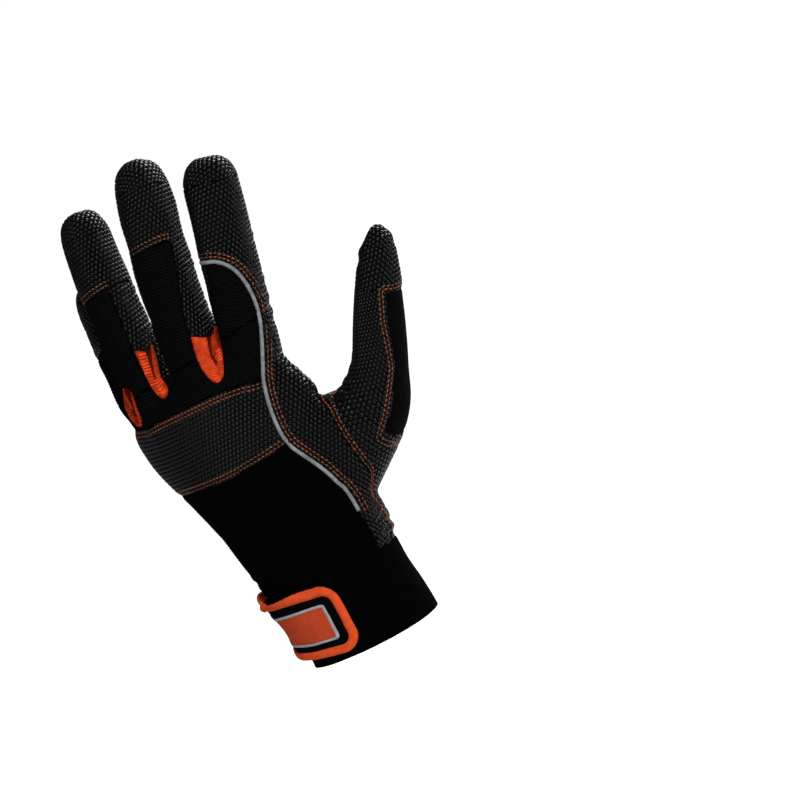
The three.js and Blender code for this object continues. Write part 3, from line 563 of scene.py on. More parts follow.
def thumb_place(p):
    """Where points lie along the thumb and in its sections."""
    rows = np.linspace(0, len(THUMB_SECTIONS) - 1, 150)
    centres = thumb_section(rows)["centre"]
    nearest = np.zeros(len(p), int)
    for start in range(0, len(p), 20000):
        block = p[start:start + 20000]
        gap = ((block[:, None] - centres[None]) ** 2).sum(-1)
        nearest[start:start + 20000] = gap.argmin(1)
    row = rows[nearest]
    for _ in range(2):
        s = thumb_section(row)
        ahead = thumb_section(np.minimum(row + 0.05, rows[-1]))["centre"] - s["centre"]
        ahead_share = dot(p - s["centre"], ahead) / np.maximum(dot(ahead, ahead), 1e-9)
        row = np.clip(row + 0.05 * ahead_share, 0, rows[-1])
    s = thumb_section(row)
    offset = p - s["centre"]
    centres_path = np.concatenate([[0], np.cumsum(np.linalg.norm(np.diff(centres, axis=0), axis=1))])
    return {"x": dot(offset, s["across"]), "y": dot(offset, s["palmward"]), "row": row,
            "width": s["width"], "depth": s["depth"], "along": np.interp(row, rows, centres_path)}


def arc_round(x, y, width, depth, zero_deg=90.0):
    """Arc length round a section from a zero direction, in millimetres, and the angle in degrees."""
    angle = np.degrees(np.arctan2(y / depth, x / width))
    turned = (zero_deg - angle + 180) % 360 - 180
    return np.radians(turned) * (width + depth) / 2, turned


# Sheets: a table of numbers for each vertex, with triangles


class Sheet:
    """Vertices with named columns of values, and triangles."""

    def __init__(self, columns, table, tris):
        self.columns, self.table, self.tris = columns, table, tris

    def __getitem__(self, name):
        if name == "pos":
            return self.table[:, 0:3]
        if name == "nor":
            return self.table[:, 3:6]
        return self.table[:, self.columns.index(name)]

    def tidy(self, tris, table=None):
        table = self.table if table is None else table
        used, index = np.unique(tris, return_inverse=True)
        return Sheet(self.columns, table[used], index.reshape(tris.shape))

    def copy(self):
        return Sheet(self.columns, self.table.copy(), self.tris.copy())


def clip(sheet, field):
    """The part of a sheet where a field isn't negative, cut cleanly along its zero line."""
    value = sheet[field] if isinstance(field, str) else field
    value = np.where(np.abs(value) < 1e-5, 1e-5, value)
    inside = value >= 0
    tris = sheet.tris
    count = inside[tris].sum(1)
    keep = tris[count == 3]
    mixed = [tris[count == 1], tris[count == 2]]
    odd = [inside[mixed[0]], ~inside[mixed[1]]]
    turned = []
    for group, mark in zip(mixed, odd):
        first = mark.argmax(1)
        rows = np.arange(len(group))
        turned.append(np.stack([group[rows, (first + k) % 3] for k in range(3)], 1))
    one, two = turned
    edges = np.concatenate([one[:, [0, 1]], one[:, [0, 2]], two[:, [0, 1]], two[:, [0, 2]]])
    low, high = edges.min(1), edges.max(1)
    keys, index = np.unique(low * np.int64(len(value)) + high, return_inverse=True)
    a, b = keys // len(value), keys % len(value)
    t = (value[a] / (value[a] - value[b]))[:, None]
    extra = sheet.table[a] * (1 - t) + sheet.table[b] * t
    made = len(value) + index
    n1, n2 = len(one), len(two)
    e01, e02 = made[:n1], made[n1:2 * n1]
    f01, f02 = made[2 * n1:2 * n1 + n2], made[2 * n1 + n2:]
    parts = [
        keep,
        np.stack([one[:, 0], e01, e02], 1),
        np.stack([f01, two[:, 1], two[:, 2]], 1),
        np.stack([f01, two[:, 2], f02], 1),
    ]
    return sheet.tidy(np.vstack(parts), np.vstack([sheet.table, extra]))


def split(sheet, field):
    """The two parts of a sheet beside the zero line of a field."""
    value = sheet[field] if isinstance(field, str) else field
    return clip(sheet, value), clip(sheet, -value)


def islands(sheet, fewest=12):
    """The connected parts of a sheet, without the tiniest."""
    tris = sheet.tris
    mark = np.arange(len(sheet.table))
    while True:
        low = mark[tris].min(1)
        fresh = mark.copy()
        np.minimum.at(fresh, tris.ravel(), np.repeat(low, 3))
        fresh = fresh[fresh]
        if (fresh == mark).all():
            break
        mark = fresh
    owner = mark[tris[:, 0]]
    groups = [tris[owner == key] for key in np.unique(owner)]
    return [sheet.tidy(group) for group in groups if len(group) >= fewest]


def closed_shell(sheet, wall=WALL):
    """A sheet given a thickness inwards, as vertices and triangles of a closed body."""
    pos, nor, tris = sheet["pos"], unit(sheet["nor"]), sheet.tris
    count = len(pos)
    inner = pos - nor * wall
    edges = np.concatenate([tris[:, [0, 1]], tris[:, [1, 2]], tris[:, [2, 0]]])
    keys = edges.min(1) * np.int64(count) + edges.max(1)
    _, first, number = np.unique(keys, return_index=True, return_counts=True)
    rim = edges[first[number == 1]]
    a, b = rim[:, 0], rim[:, 1]
    sides = np.concatenate([np.stack([b, a, a + count], 1), np.stack([b, a + count, b + count], 1)])
    return np.vstack([pos, inner]), np.vstack([tris, tris[:, ::-1] + count, sides])


def contour(sheet, field, level):
    """Lines where a field has a level, as lists of table rows."""
    value = (sheet[field] if isinstance(field, str) else field) - level
    value = np.where(np.abs(value) < 1e-6, 1e-6, value)
    above = value > 0
    tris = sheet.tris[(above[sheet.tris].sum(1) % 3) != 0]
    segments = []
    rows = {}
    for tri in tris:
        ends = []
        for k in range(3):
            a, b = int(tri[k]), int(tri[(k + 1) % 3])
            if above[a] != above[b]:
                key = (min(a, b), max(a, b))
                if key not in rows:
                    a, b = key
                    t = value[a] / (value[a] - value[b])
                    rows[key] = sheet.table[a] * (1 - t) + sheet.table[b] * t
                ends.append(key)
        if len(ends) == 2:
            segments.append(ends)
    links = {}
    for a, b in segments:
        links.setdefault(a, []).append(b)
        links.setdefault(b, []).append(a)
    lines, seen = [], set()
    starts = [k for k in links if len(links[k]) == 1] + list(links)
    for start in starts:
        if start in seen:
            continue
        line = [start]
        seen.add(start)
        while True:
            onward = [k for k in links[line[-1]] if k not in seen]
            if not onward:
                break
            line.append(onward[0])
            seen.add(onward[0])
        if len(line) > 2 and len(links[start]) == 2 and line[-1] in links[start]:
            line.append(start)
        if len(line) > 3:
            lines.append(np.array([rows[k] for k in line]))
    return lines


def resampled(line, pitch):
    """A line's table rows at an even pitch along it."""
    length = np.concatenate([[0], np.cumsum(np.linalg.norm(np.diff(line[:, :3], axis=0), axis=1))])
    count = int(length[-1] / pitch)
    if count < 1:
        return line[:0]
    at = (np.arange(count + 1) + 0.5 * (length[-1] / pitch - count)) * pitch
    at = at[at < length[-1]]
    return np.stack([np.interp(at, length, line[:, k]) for k in range(line.shape[1])], 1)


VIEW_BACK = np.array([math.sin(math.radians(BACK_TURN_DEG)), -math.cos(math.radians(BACK_TURN_DEG)), 0.0])


def outline_round(line, reach):
    """A narrow outline round an open line."""
    along = unit(np.gradient(line, axis=0))
    side = np.stack([-along[:, 1], along[:, 0]], 1) * reach
    return np.vstack([line + side, (line - side)[::-1]])


def strap_outline(margin):
    """The strap's outline on the plane of the back, drawn in from its edge, rounded at its free end."""
    low, high = STRAP_LIFT + margin, STRAP_LIFT + STRAP_HEIGHT - margin
    end = STRAP_END - margin
    radius = max(STRAP_CORNER - margin, 1.5)
    quarter = np.radians(np.linspace(0, 90, 9))
    rise = STRAP_RISE * STRAP_LENGTH
    lower = np.stack([end - radius + radius * np.sin(quarter), low + radius - radius * np.cos(quarter)], 1)
    upper = np.stack([end - radius + radius * np.cos(quarter), high - radius + radius * np.sin(quarter)], 1)
    return np.vstack([[-STRAP_LENGTH, low + rise], lower, upper, [-STRAP_LENGTH, high + rise]])


# The whole skin with its fields


def thumb_field(seen, x, y, z):
    """Positive on the thumb, inside its seams on the back and on the palm."""
    palm_side, back_side = (
        outline_field(across, z, np.vstack([seam_points(seam), seam_points(THUMB_CLEAR, 1)]))
        for across, seam in ((x, THUMB_PALM_SEAM), (seen, THUMB_BACK_SEAM)))
    blend = smoothstep(THUMB_SPLIT - 5, THUMB_SPLIT + 5, y)
    return back_side * (1 - blend) + palm_side * blend


def fork_field(fork, seen, x, y, z, facing):
    """Positive on a fork: inside its outline on the back, and inside a wedge on the palm."""
    _, across, back, fork_turn, low, high, half, outline = fork
    a = math.radians(fork_turn)
    ox, oy = x - across * PALM_WIDTH / 2, y - back * PALM_DEPTH
    side = ox * math.cos(a) - oy * math.sin(a)
    depth = ox * math.sin(a) + oy * math.cos(a)
    low, high = CUFF_HEIGHT + low * PALM_HEIGHT, CUFF_HEIGHT + high * PALM_HEIGHT
    rise = np.clip((z - low) / (high - low), 0, 1)
    reach = half * PALM_WIDTH / 2 * (FORK_FOOT + (1 - FORK_FOOT) * rise)
    front = np.minimum(np.minimum(reach - np.abs(side), z - low), high - z)
    front = np.minimum(front, -FORK_TURN_AWAY * facing)
    behind = outline_field(seen, z, closed_seam(outline))
    on_back = np.minimum(behind, FORK_OUTLINE_REACH - depth)
    return np.maximum(on_back, np.minimum(front, depth + FORK_FRONT_REACH))


def patch_field(thumb):
    """Positive on the patch along the thumb's back, and the place of its upper end along the thumb."""
    rows = column(PATCH_ROWS, 0)
    start = np.interp(thumb["row"], rows, column(PATCH_ROWS, 1))
    turned = np.radians(np.interp(thumb["row"], rows, column(PATCH_ROWS, 2)))
    reach = thumb["x"] / thumb["width"] * np.cos(turned) + thumb["y"] / thumb["depth"] * np.sin(turned)
    path = lambda row: np.interp(row, np.sort(thumb["row"]), np.sort(thumb["along"]))
    low_end, high_end = path(rows[0]), path(rows[-1])
    sideways = (reach - start) * (thumb["width"] + thumb["depth"]) / 2
    ends = np.minimum(thumb["along"] - low_end, high_end - thumb["along"])
    field = np.where((sideways > 0) & (ends > 0), np.minimum(sideways, ends),
                     -np.hypot(np.minimum(sideways, 0), np.minimum(ends, 0)))
    return field, high_end


def finger_pad_field(pad, place):
    """Positive on a finger's pad, a rounded box laid round the finger's front."""
    index, name, start, stop, half = pad
    size, width = FINGERS[index][1:3]
    wide = half * width / 2
    arc = arc_round(place["x"], place["y"], place["width"], place["depth"])[0]
    arc = np.where(place["y"] > -0.2 * place["depth"], arc, FAR)
    upper = (place["along"] > (start + stop) / 2) & name.endswith("tip_pad")
    corner = np.where(upper, TIP_CORNER * wide, PAD_CORNER)
    px = np.abs(arc) - wide + corner
    py = np.abs(place["along"] - (start + stop) / 2) * size - (stop - start) / 2 * size + corner
    outside = np.hypot(np.maximum(px, 0), np.maximum(py, 0)) + np.minimum(np.maximum(px, py), 0)
    return corner - outside


def build_skin():
    """The skin as a sheet. Each seam, pad and edge is a field: a distance that is zero along its line."""
    verts, tris = make_skin()
    normals = normals_of(verts, tris)
    facing = normals @ VIEW_BACK
    hand = hand_place(verts)
    thumb = thumb_place(verts)
    fingers = [finger_place(f, verts) for f in FINGERS]
    turn = math.radians(BACK_TURN_DEG)
    x, y, z = verts.T
    seen = x * math.cos(turn) + y * math.sin(turn)
    fields = {"rim": z.copy(), "cuff": z - CUFF_HEIGHT, "backside": -hand["y"],
              "seen": seen, "facing": facing}
    for name, seam in (("piping", PIPING_LINE), ("upper", UPPER_SEAM), ("lower", LOWER_SEAM)):
        fields[name] = line_field(seen, z, seam_points(seam))
    fields["thumb"] = thumb_field(seen, x, y, z)
    slope = math.tan(math.radians(ROOT_TILT_DEG))
    middle = PALM_SECTIONS[-1][1] * PALM_WIDTH
    fields["root"] = z - (ROOT_HEIGHT + ROOT_CUT + slope * (x - middle))
    for fork in FORKS:
        fields[fork[0]] = fork_field(fork, seen, x, y, z, facing)
    for index, crease in enumerate(FORK_CREASES):
        fields[f"crease{index}"] = np.abs(line_field(seen, z, seam_points(crease)))
    strap_z = z - STRAP_CLIMB * smoothstep(*STRAP_CLIMB_SPAN, y) * (x < 0)
    for name, margin in (("strap", 0), ("label", BINDING_WIDTH + LABEL_INSET)):
        fields[name] = np.minimum(outline_field(seen, strap_z, strap_outline(margin)), CUFF_DEPTH / 6 - y)
    away = np.stack([f["away"] for f in fingers], 1)
    owner = away.argmin(1)
    for i in range(len(FINGERS)):
        others = np.delete(away, i, axis=1).min(1)
        fields[f"own{i}"] = (others - away[:, i]) / 2
    fx, fy, fw, fd, along = (np.choose(owner, [f[key] for f in fingers])
                             for key in ("x", "y", "width", "depth", "along"))
    length, width, knit_end, slant, near_root, near_end = (
        np.array(column(FINGERS, k))[owner] for k in (1, 2, 9, 10, 11, 12))
    fields["finger_y"] = fy
    fields["finger_up"] = along * length
    thumbward = near_root + (near_end - near_root) * smoothstep(0.15, 0.62, along)
    outward = KNIT_HALF + KNIT_ROOT * smoothstep(0.4, 0.22, along)
    sides = np.minimum(thumbward * fw - fx, fx + outward * fw)
    fields["knit"] = np.minimum(sides, -fy + 0.15 * fd)
    fields["cap"] = (along - knit_end - slant * fx / fw) * length
    fields["tip_foot"] = (along - TIP_FOOT) * length
    _, angle = arc_round(fx, fy, fw, fd)
    fields["finger_b"] = along * length * 1.02
    fields["cap_a"] = np.radians((angle + 360) % 360 - 180) * (width / 2)
    fields["back_a"], _ = arc_round(hand["x"], hand["y"], hand["width"], hand["depth"], -90.0)
    fields["hand_b"] = hand["z"]
    fields["thumb_b"] = thumb["along"]
    fields["thumb_row"] = thumb["row"]
    fields["patch"], patch_top = patch_field(thumb)
    fields["thumb_cap"] = thumb["along"] - patch_top - 1
    fields["thumb_tip"] = thumb["along"] - thumb["along"].max() + 9
    for pad in FINGER_PADS:
        fields[pad[1]] = np.where(owner == pad[0], finger_pad_field(pad, fingers[pad[0]]), -FAR)
    for name, outline in (("upper_palm_pad", UPPER_PAD), ("heel_pad", HEEL_PAD)):
        field = outline_field(x, z, closed_seam(outline))
        fields[name] = np.where(hand["y"] > 0, np.minimum(field, hand["y"] + 2), -FAR)
    for index, line in enumerate(PALM_LINES):
        drawn = seam_points(line)
        fields[f"palm_line{index}"] = line_field(x, z, drawn)
        fields[f"palm_near{index}"] = np.where(y > 0, outline_field(x, z, outline_round(drawn, 1.5)), -FAR)
    centres = np.stack([finger_section(f, g["along"])["centre"] for f, g in zip(FINGERS, fingers)])
    own_centre = centres[owner, np.arange(len(verts))]
    fields["finger_side"] = (verts - own_centre) @ VIEW_BACK
    fields["thumb_side"] = (verts - thumb_section(thumb["row"])["centre"]) @ VIEW_BACK
    columns = ["px", "py", "pz", "nx", "ny", "nz"] + list(fields)
    table = np.hstack([verts, normals, np.stack(list(fields.values()), 1)])
    return Sheet(columns, table, tris)


PAD_NAMES = [pad[1] for pad in FINGER_PADS] + ["upper_palm_pad", "heel_pad"]
FORK_NAMES = [fork[0] for fork in FORKS]


def back_of(skin):
    """One on the side that the plane of the back shows, falling to nothing on the other."""
    return smoothstep(-0.3, 0.2, skin["facing"])


def groove_rows(skin):
    """The grooves: distance from the line, depth, width and where each holds."""
    z = skin["rim"]
    back = smoothstep(-4, 2, skin["backside"])
    above = smoothstep(-2, 2, skin["root"]) * (skin["own0"] < 0)
    body = (1 - smoothstep(-2, 2, skin["root"])) * back * (skin["piping"] < 0)
    on_back = np.where(z > ROOT_HEIGHT + ROOT_CUT, skin["own0"] > -1, True)
    rows = [
        (skin["thumb"], 0.8, 1.5, 1),
        (skin["upper"], 0.6, 1.4, body),
        (skin["lower"], 0.7, 1.5, body),
        (skin["piping"], 0.5, 1.6, back * on_back * smoothstep(50, 56, z)),
        (skin["patch"], 0.5, 1.3, skin["thumb"] > 0),
        (skin["cuff"], 0.7, 1.8, 1),
        (skin["knit"], 0.55, 1.2, above),
        (skin["cap"], 0.6, 1.3, above * (skin["knit"] > 0)),
    ]
    for index, name in enumerate(FORK_NAMES):
        rows.append((skin[name], 0.5, 1.0, 1))
        rows.append((skin[f"crease{index}"], 2.4, 1.2, smoothstep(-1, 2, skin[name]) * back_of(skin)))
    return rows + [(skin[name], 0.35, 1.0, 1) for name in PAD_NAMES]


def shape_skin(skin):
    """Grooves along the seams, pad borders and the folds of a worn glove, moved along the normals."""
    pos, nor = skin["pos"], skin["nor"]
    z = pos[:, 2]
    dip = sum(depth * np.exp(-((line / width) ** 2)) * where
              for line, depth, width, where in groove_rows(skin))
    rise = 0.35 * ripple(pos, 38, 5) + 0.14 * ripple(pos, 15, 8)
    # Folds across the wrist, above the strap
    wrist = np.exp(-(((z - CUFF_HEIGHT - 6) / 7) ** 2)) * smoothstep(-1, -6, skin["strap"])
    rise += 0.55 * wrist * np.sin(z * 1.05 + 1.4 * ripple(pos, 46, 3))
    # The strap draws the wrist's side outwards at its upper edge
    rise += WRIST_SIDE * np.exp(-(((z - CUFF_HEIGHT - 1) / 11) ** 2)) * smoothstep(-16, -32, skin["seen"])
    # Folds in the thumb's web
    web = np.exp(-(((skin["thumb_row"] - 3.1) / 0.9) ** 2)) * (pos[:, 0] > 18)
    web = web * smoothstep(0, -6, skin["patch"])
    rise += 0.45 * web * np.sin(skin["thumb_b"] * 0.9 + 1.2 * ripple(pos, 30, 4))
    # Folds at the fingers' joints and at their roots on the palm
    for share in (0.33, 0.55):
        joint = np.exp(-(((skin["finger_up"] / 90 - share) / 0.055) ** 2)) * smoothstep(-2, 2, skin["root"])
        rise += 0.28 * joint * np.sin(skin["finger_up"] * 1.3) * smoothstep(-6, 4, skin["finger_y"])
    base = np.exp(-((skin["root"] / 7) ** 2)) * smoothstep(-2, 6, -skin["backside"])
    rise += 0.5 * base * np.sin(z * 0.75 + 1.5 * ripple(pos, 40, 9))
    skin.table[:, 0:3] = pos + nor * (rise - dip)[:, None]
    skin.table[:, 3:6] = normals_of(skin["pos"], skin.tris)


# Detail laid on a sheet, placed through a flattened copy of it


def unwrapped(sheet):
    """A sheet unfolded onto a plane, in millimetres. Angles are kept and the second place runs up."""
    flat_object = new_object("flat_sheet", sheet["pos"], sheet.tris)
    mesh = flat_object.data
    mesh.uv_layers.new(name="flat")
    bpy.context.view_layer.objects.active = flat_object
    flat_object.select_set(True)
    bpy.ops.object.mode_set(mode="EDIT")
    bpy.ops.mesh.select_all(action="SELECT")
    bpy.ops.uv.unwrap(method="CONFORMAL", margin=0.0)
    bpy.ops.object.mode_set(mode="OBJECT")
    corners = np.empty(len(mesh.loops) * 2)
    mesh.uv_layers[0].data.foreach_get("uv", corners)
    owners = np.empty(len(mesh.loops), np.int64)
    mesh.loops.foreach_get("vertex_index", owners)
    flat = np.zeros((len(sheet.table), 2))
    flat[owners] = corners.reshape(-1, 2)
    bpy.data.objects.remove(flat_object)
    a, b, c = (sheet["pos"][sheet.tris[:, k]] for k in range(3))
    fa, fb, fc = (flat[sheet.tris[:, k]] for k in range(3))
    area = np.linalg.norm(np.cross(b - a, c - a), axis=1).sum()
    ex, ey = fb - fa, fc - fa
    turned = ex[:, 0] * ey[:, 1] - ex[:, 1] * ey[:, 0]
    flat_area = np.abs(turned).sum()
    zb, zc = (b - a)[:, 2], (c - a)[:, 2]
    climb = np.array([(zb * ey[:, 1] - zc * ex[:, 1]).sum(), (zc * ex[:, 0] - zb * ey[:, 0]).sum()])
    climb = climb / max(np.linalg.norm(climb), 1e-12) * (1 if turned.sum() >= 0 else -1)
    flat = flat * math.sqrt(area / max(flat_area, 1e-12))
    return np.stack([flat @ (climb[1], -climb[0]), flat @ climb], 1)


class Flat:
    """A sheet laid on a plane, to place points on it."""

    def __init__(self, sheet, places, widest=8.0):
        self.sheet, self.places = sheet, places
        spread = places[sheet.tris, 0].max(1) - places[sheet.tris, 0].min(1)
        self.tris = sheet.tris[spread < widest]
        flat = np.hstack([places, np.zeros((len(places), 1))])
        self.tree = BVHTree.FromPolygons(flat.tolist(), self.tris.tolist(), epsilon=0.0)

    def find(self, points, reach=0.02):
        """For each point, its triangle or -1, and the nearest place on that triangle."""
        found = np.full(len(points), -1)
        spots = np.array(points, float)
        near = self.tree.find_nearest
        for i, (x, y) in enumerate(points):
            hit = near((x, y, 0.0), reach)
            if hit[2] is not None:
                found[i] = hit[2]
                spots[i] = hit[0][:2]
        return found, spots

    def read(self, points, found):
        """The sheet's table at each point of a found triangle."""
        tri = self.tris[found]
        a, b, c = (self.places[tri[:, k]] for k in range(3))
        v0, v1, v2 = b - a, c - a, points - a
        area = v0[:, 0] * v1[:, 1] - v0[:, 1] * v1[:, 0]
        area = np.where(np.abs(area) < 1e-9, 1e-9, area)
        s = np.clip((v2[:, 0] * v1[:, 1] - v2[:, 1] * v1[:, 0]) / area, 0, 1)[:, None]
        t = np.clip((v0[:, 0] * v2[:, 1] - v0[:, 1] * v2[:, 0]) / area, 0, 1)[:, None]
        table = self.sheet.table
        return table[tri[:, 0]] * (1 - s - t) + table[tri[:, 1]] * s + table[tri[:, 2]] * t


def grain(sheet, keep=None):
    """Raised six-sided cells of embossed leather over a sheet."""
    if len(sheet.tris) < 4:
        return None
    places = unwrapped(sheet)
    flat = Flat(sheet, places)
    low, high = places.min(0), places.max(0)
    step = GRAIN_PITCH * math.sqrt(3) / 2
    rows_a = np.arange(math.floor(low[0] / GRAIN_PITCH) - 1, math.ceil(high[0] / GRAIN_PITCH) + 1)
    rows_b = np.arange(math.floor(low[1] / step), math.ceil(high[1] / step) + 1)
    grid_a, grid_b = np.meshgrid(rows_a, rows_b)
    centres = np.stack([(grid_a + 0.5 * (grid_b % 2)).ravel() * GRAIN_PITCH, grid_b.ravel() * step], 1)
    found_mid, _ = flat.find(centres, 0.1)
    centres, found_mid = centres[found_mid >= 0], found_mid[found_mid >= 0]
    angles = np.radians(np.arange(6) * 60 + 30)
    radius = GRAIN_PITCH / math.sqrt(3)
    corners = centres[:, None] + radius * GRAIN_SHARE * np.stack([np.cos(angles), np.sin(angles)], 1)[None]
    found, corners = flat.find(corners.reshape(-1, 2), 0.9 * GRAIN_PITCH)
    found, corners = found.reshape(-1, 6), corners.reshape(-1, 6, 2)
    good = (found >= 0).all(1)
    centres, corners, found_mid, found = centres[good], corners[good], found_mid[good], found[good]
    if not len(centres):
        return None
    mid = flat.read(centres, found_mid)
    rim = flat.read(corners.reshape(-1, 2), found.ravel()).reshape(len(centres), 6, -1)
    spread = np.linalg.norm(rim[:, :, :3] - mid[:, None, :3], axis=2)
    size = spread.mean(1) / (radius * GRAIN_SHARE)
    even = (size > GRAIN_LIMITS[0]) & (size < GRAIN_LIMITS[1]) & (spread.max(1) < 2.2 * radius)
    if keep is not None:
        even &= keep(mid, sheet)
    mid, rim = mid[even], rim[even]
    nor = unit(mid[:, 3:6])
    count = len(mid)
    rim_nor = unit(rim[:, :, 3:6])
    foot = rim[:, :, :3] - rim_nor * GRAIN_SINK
    top = mid[:, None, :3] + (rim[:, :, :3] - mid[:, None, :3]) * GRAIN_TOP + rim_nor * GRAIN_RISE * 0.9
    crown = mid[:, :3] + nor * GRAIN_RISE
    verts = np.concatenate([foot, top, crown[:, None]], axis=1)
    k = np.arange(6)
    n = (k + 1) % 6
    cell = np.concatenate([
        np.stack([k, n, n + 6], 1),
        np.stack([k, n + 6, k + 6], 1),
        np.stack([k + 6, n + 6, np.full(6, 12)], 1),
    ])
    tris = cell[None] + (np.arange(count) * 13)[:, None, None]
    return verts.reshape(-1, 3), tris.reshape(-1, 3)


def level_ribs(sheet, key, pitch=RIB_PITCH, rise=RIB_RISE):
    """Parts with level ribs over each piece of a sheet."""
    return [(ribs(part, unwrapped(part), pitch, rise), key) for part in islands(sheet)]


def ribs_round(sheet, a, b, pitch=RIB_PITCH, rise=RIB_RISE):
    """Ribs along the first of two columns."""
    return ribs(sheet, np.stack([sheet[a], sheet[b]], 1), pitch, rise)


def ribs(sheet, places, pitch, rise):
    """Raised ribs of a knit, along the first direction of the sheet's places on a plane."""
    flat = Flat(sheet, places)
    low, high = places.min(0), places.max(0)
    half = pitch * 0.42
    parts = []
    step = 1.1
    start = math.ceil((low[1] + half) / pitch) * pitch
    for middle in np.arange(start, high[1] - half, pitch):
        across = np.arange(low[0], high[0] + step, step)
        lanes = [np.stack([across, np.full_like(across, middle + k * half)], 1)
                 for k in (-1, -0.45, 0.45, 1)]
        found = [flat.find(lane, 0.05)[0] for lane in lanes]
        good = np.all([f >= 0 for f in found], axis=0)
        if good.sum() < 2:
            continue
        rows = [flat.read(lane[good], f[good]) for lane, f in zip(lanes, found)]
        lifts = (-0.1, rise, rise, -0.1)
        points = [row[:, :3] + unit(row[:, 3:6]) * lift for row, lift in zip(rows, lifts)]
        at = np.flatnonzero(good)
        count = len(at)
        gap = np.linalg.norm(np.diff(points[0], axis=0), axis=1)
        link = np.flatnonzero((np.diff(at) == 1) & (gap < 3 * step))
        tris = []
        for lane in range(3):
            p, q = link + lane * count, link + (lane + 1) * count
            tris += [np.stack([p, p + 1, q + 1], 1), np.stack([p, q + 1, q], 1)]
        if len(link):
            parts.append((np.vstack(points), np.vstack(tris)))
    return joined(parts) if parts else None


def stitches(lines):
    """Short thread capsules along lines of table rows."""
    rng = np.random.RandomState(STITCH_SEED)
    parts = []
    angle = np.arange(STITCH_SIDES) * 2 * math.pi / STITCH_SIDES
    for line in lines:
        rows = resampled(line, STITCH_PITCH)
        if len(rows) < 2:
            continue
        pos, nor = rows[:, :3], unit(rows[:, 3:6])
        along = unit(np.gradient(pos, axis=0))
        side = unit(np.cross(nor, along))
        along = unit(np.cross(side, nor))
        along = unit(along + side * rng.uniform(-STITCH_TWIST, STITCH_TWIST, len(rows))[:, None])
        side = unit(np.cross(nor, along))
        verts = []
        for at, wide, height in STITCH_PROFILE:
            centre = pos + along * (at * STITCH_LENGTH) + nor * (STITCH_LIFT + height * STITCH_RADIUS)
            ring = [centre + (side * math.cos(t) + nor * math.sin(t)) * STITCH_RADIUS * wide for t in angle]
            verts.append(np.stack(ring, 1))
        verts = np.concatenate(verts, 1)
        faces = []
        last = (len(STITCH_PROFILE) - 1) * STITCH_SIDES
        for start in range(0, last, STITCH_SIDES):
            for s in range(STITCH_SIDES):
                p, q = start + s, start + (s + 1) % STITCH_SIDES
                faces += [(p, q + STITCH_SIDES, q), (p, p + STITCH_SIDES, q + STITCH_SIDES)]
        for s in range(1, STITCH_SIDES - 1):
            faces += [(0, s + 1, s), (last, last + s, last + s + 1)]
        per = last + STITCH_SIDES
        faces = np.array(faces)[None] + (np.arange(len(rows)) * per)[:, None, None]
        parts.append((verts.reshape(-1, 3), faces.reshape(-1, 3)))
    return joined(parts) if parts else None


# Materials


def material(name, colour, roughness, specular=0.5, sheen=0.0):
    mat = bpy.data.materials.new(name)
    mat.use_nodes = True
    shader = mat.node_tree.nodes["Principled BSDF"]
    shader.inputs["Base Color"].default_value = (*colour, 1)
    shader.inputs["Roughness"].default_value = roughness
    shader.inputs["Specular IOR Level"].default_value = specular
    shader.inputs["Sheen Weight"].default_value = sheen
    return mat


def add_node(mat, kind, **values):
    node = mat.node_tree.nodes.new(kind)
    for key, value in values.items():
        if key in node.inputs:
            node.inputs[key].default_value = value
        else:
            setattr(node, key, value)
    return node


def link(mat, source, target):
    mat.node_tree.links.new(source, target)


def object_coords(mat):
    return add_node(mat, "ShaderNodeTexCoord").outputs["Object"]


def noise(mat, scale, detail=3.0, roughness=0.5, coords=None):
    node = add_node(mat, "ShaderNodeTexNoise", Scale=scale, Detail=detail, Roughness=roughness)
    link(mat, coords or object_coords(mat), node.inputs["Vector"])
    return node.outputs["Fac"]


def ramp(mat, source, stops):
    node = add_node(mat, "ShaderNodeValToRGB")
    elements = node.color_ramp.elements
    while len(elements) < len(stops):
        elements.new(0.5)
    for element, (at, colour) in zip(elements, stops):
        element.position = at
        element.color = (*colour, 1) if len(colour) == 3 else colour
    link(mat, source, node.inputs["Fac"])
    return node.outputs["Color"]


def spread(mat, source, low, high):
    node = add_node(mat, "ShaderNodeMapRange")
    node.inputs["To Min"].default_value = low
    node.inputs["To Max"].default_value = high
    link(mat, source, node.inputs["Value"])
    return node.outputs["Result"]


def bump(mat, source, strength, distance):
    node = add_node(mat, "ShaderNodeBump", Strength=strength, Distance=distance)
    link(mat, source, node.inputs["Height"])
    link(mat, node.outputs["Normal"], mat.node_tree.nodes["Principled BSDF"].inputs["Normal"])


def shader_input(mat, name):
    return mat.node_tree.nodes["Principled BSDF"].inputs[name]


def speckle(mat, scale, detail, dark, light, source=None):
    """Colours the base between two tones by noise."""
    source = source or noise(mat, scale, detail)
    link(mat, ramp(mat, source, [dark, light]), shader_input(mat, "Base Color"))


def grain_material():
    """The cells' tops: black, with small highlights."""
    mat = material("leather_grain", (0.002, 0.002, 0.0025), 0.3, 0.16)
    speckle(mat, 420, 4, (0.35, (0.0004, 0.0004, 0.0006)), (0.7, (0.0014, 0.0014, 0.0019)))
    link(mat, spread(mat, noise(mat, 240, 3), 0.24, 0.36), shader_input(mat, "Roughness"))
    bump(mat, noise(mat, 5200, 2), 0.25, 0.00006)
    return mat


def ground_material():
    """The leather between the cells: dull black."""
    mat = material("leather_ground", (0.0006, 0.0006, 0.0006), 0.85, 0.03)
    speckle(mat, 90, 3, (0.35, (0.0003, 0.0003, 0.0004)), (0.7, (0.001, 0.001, 0.0012)))
    bump(mat, noise(mat, 2600, 2), 0.3, 0.0001)
    return mat


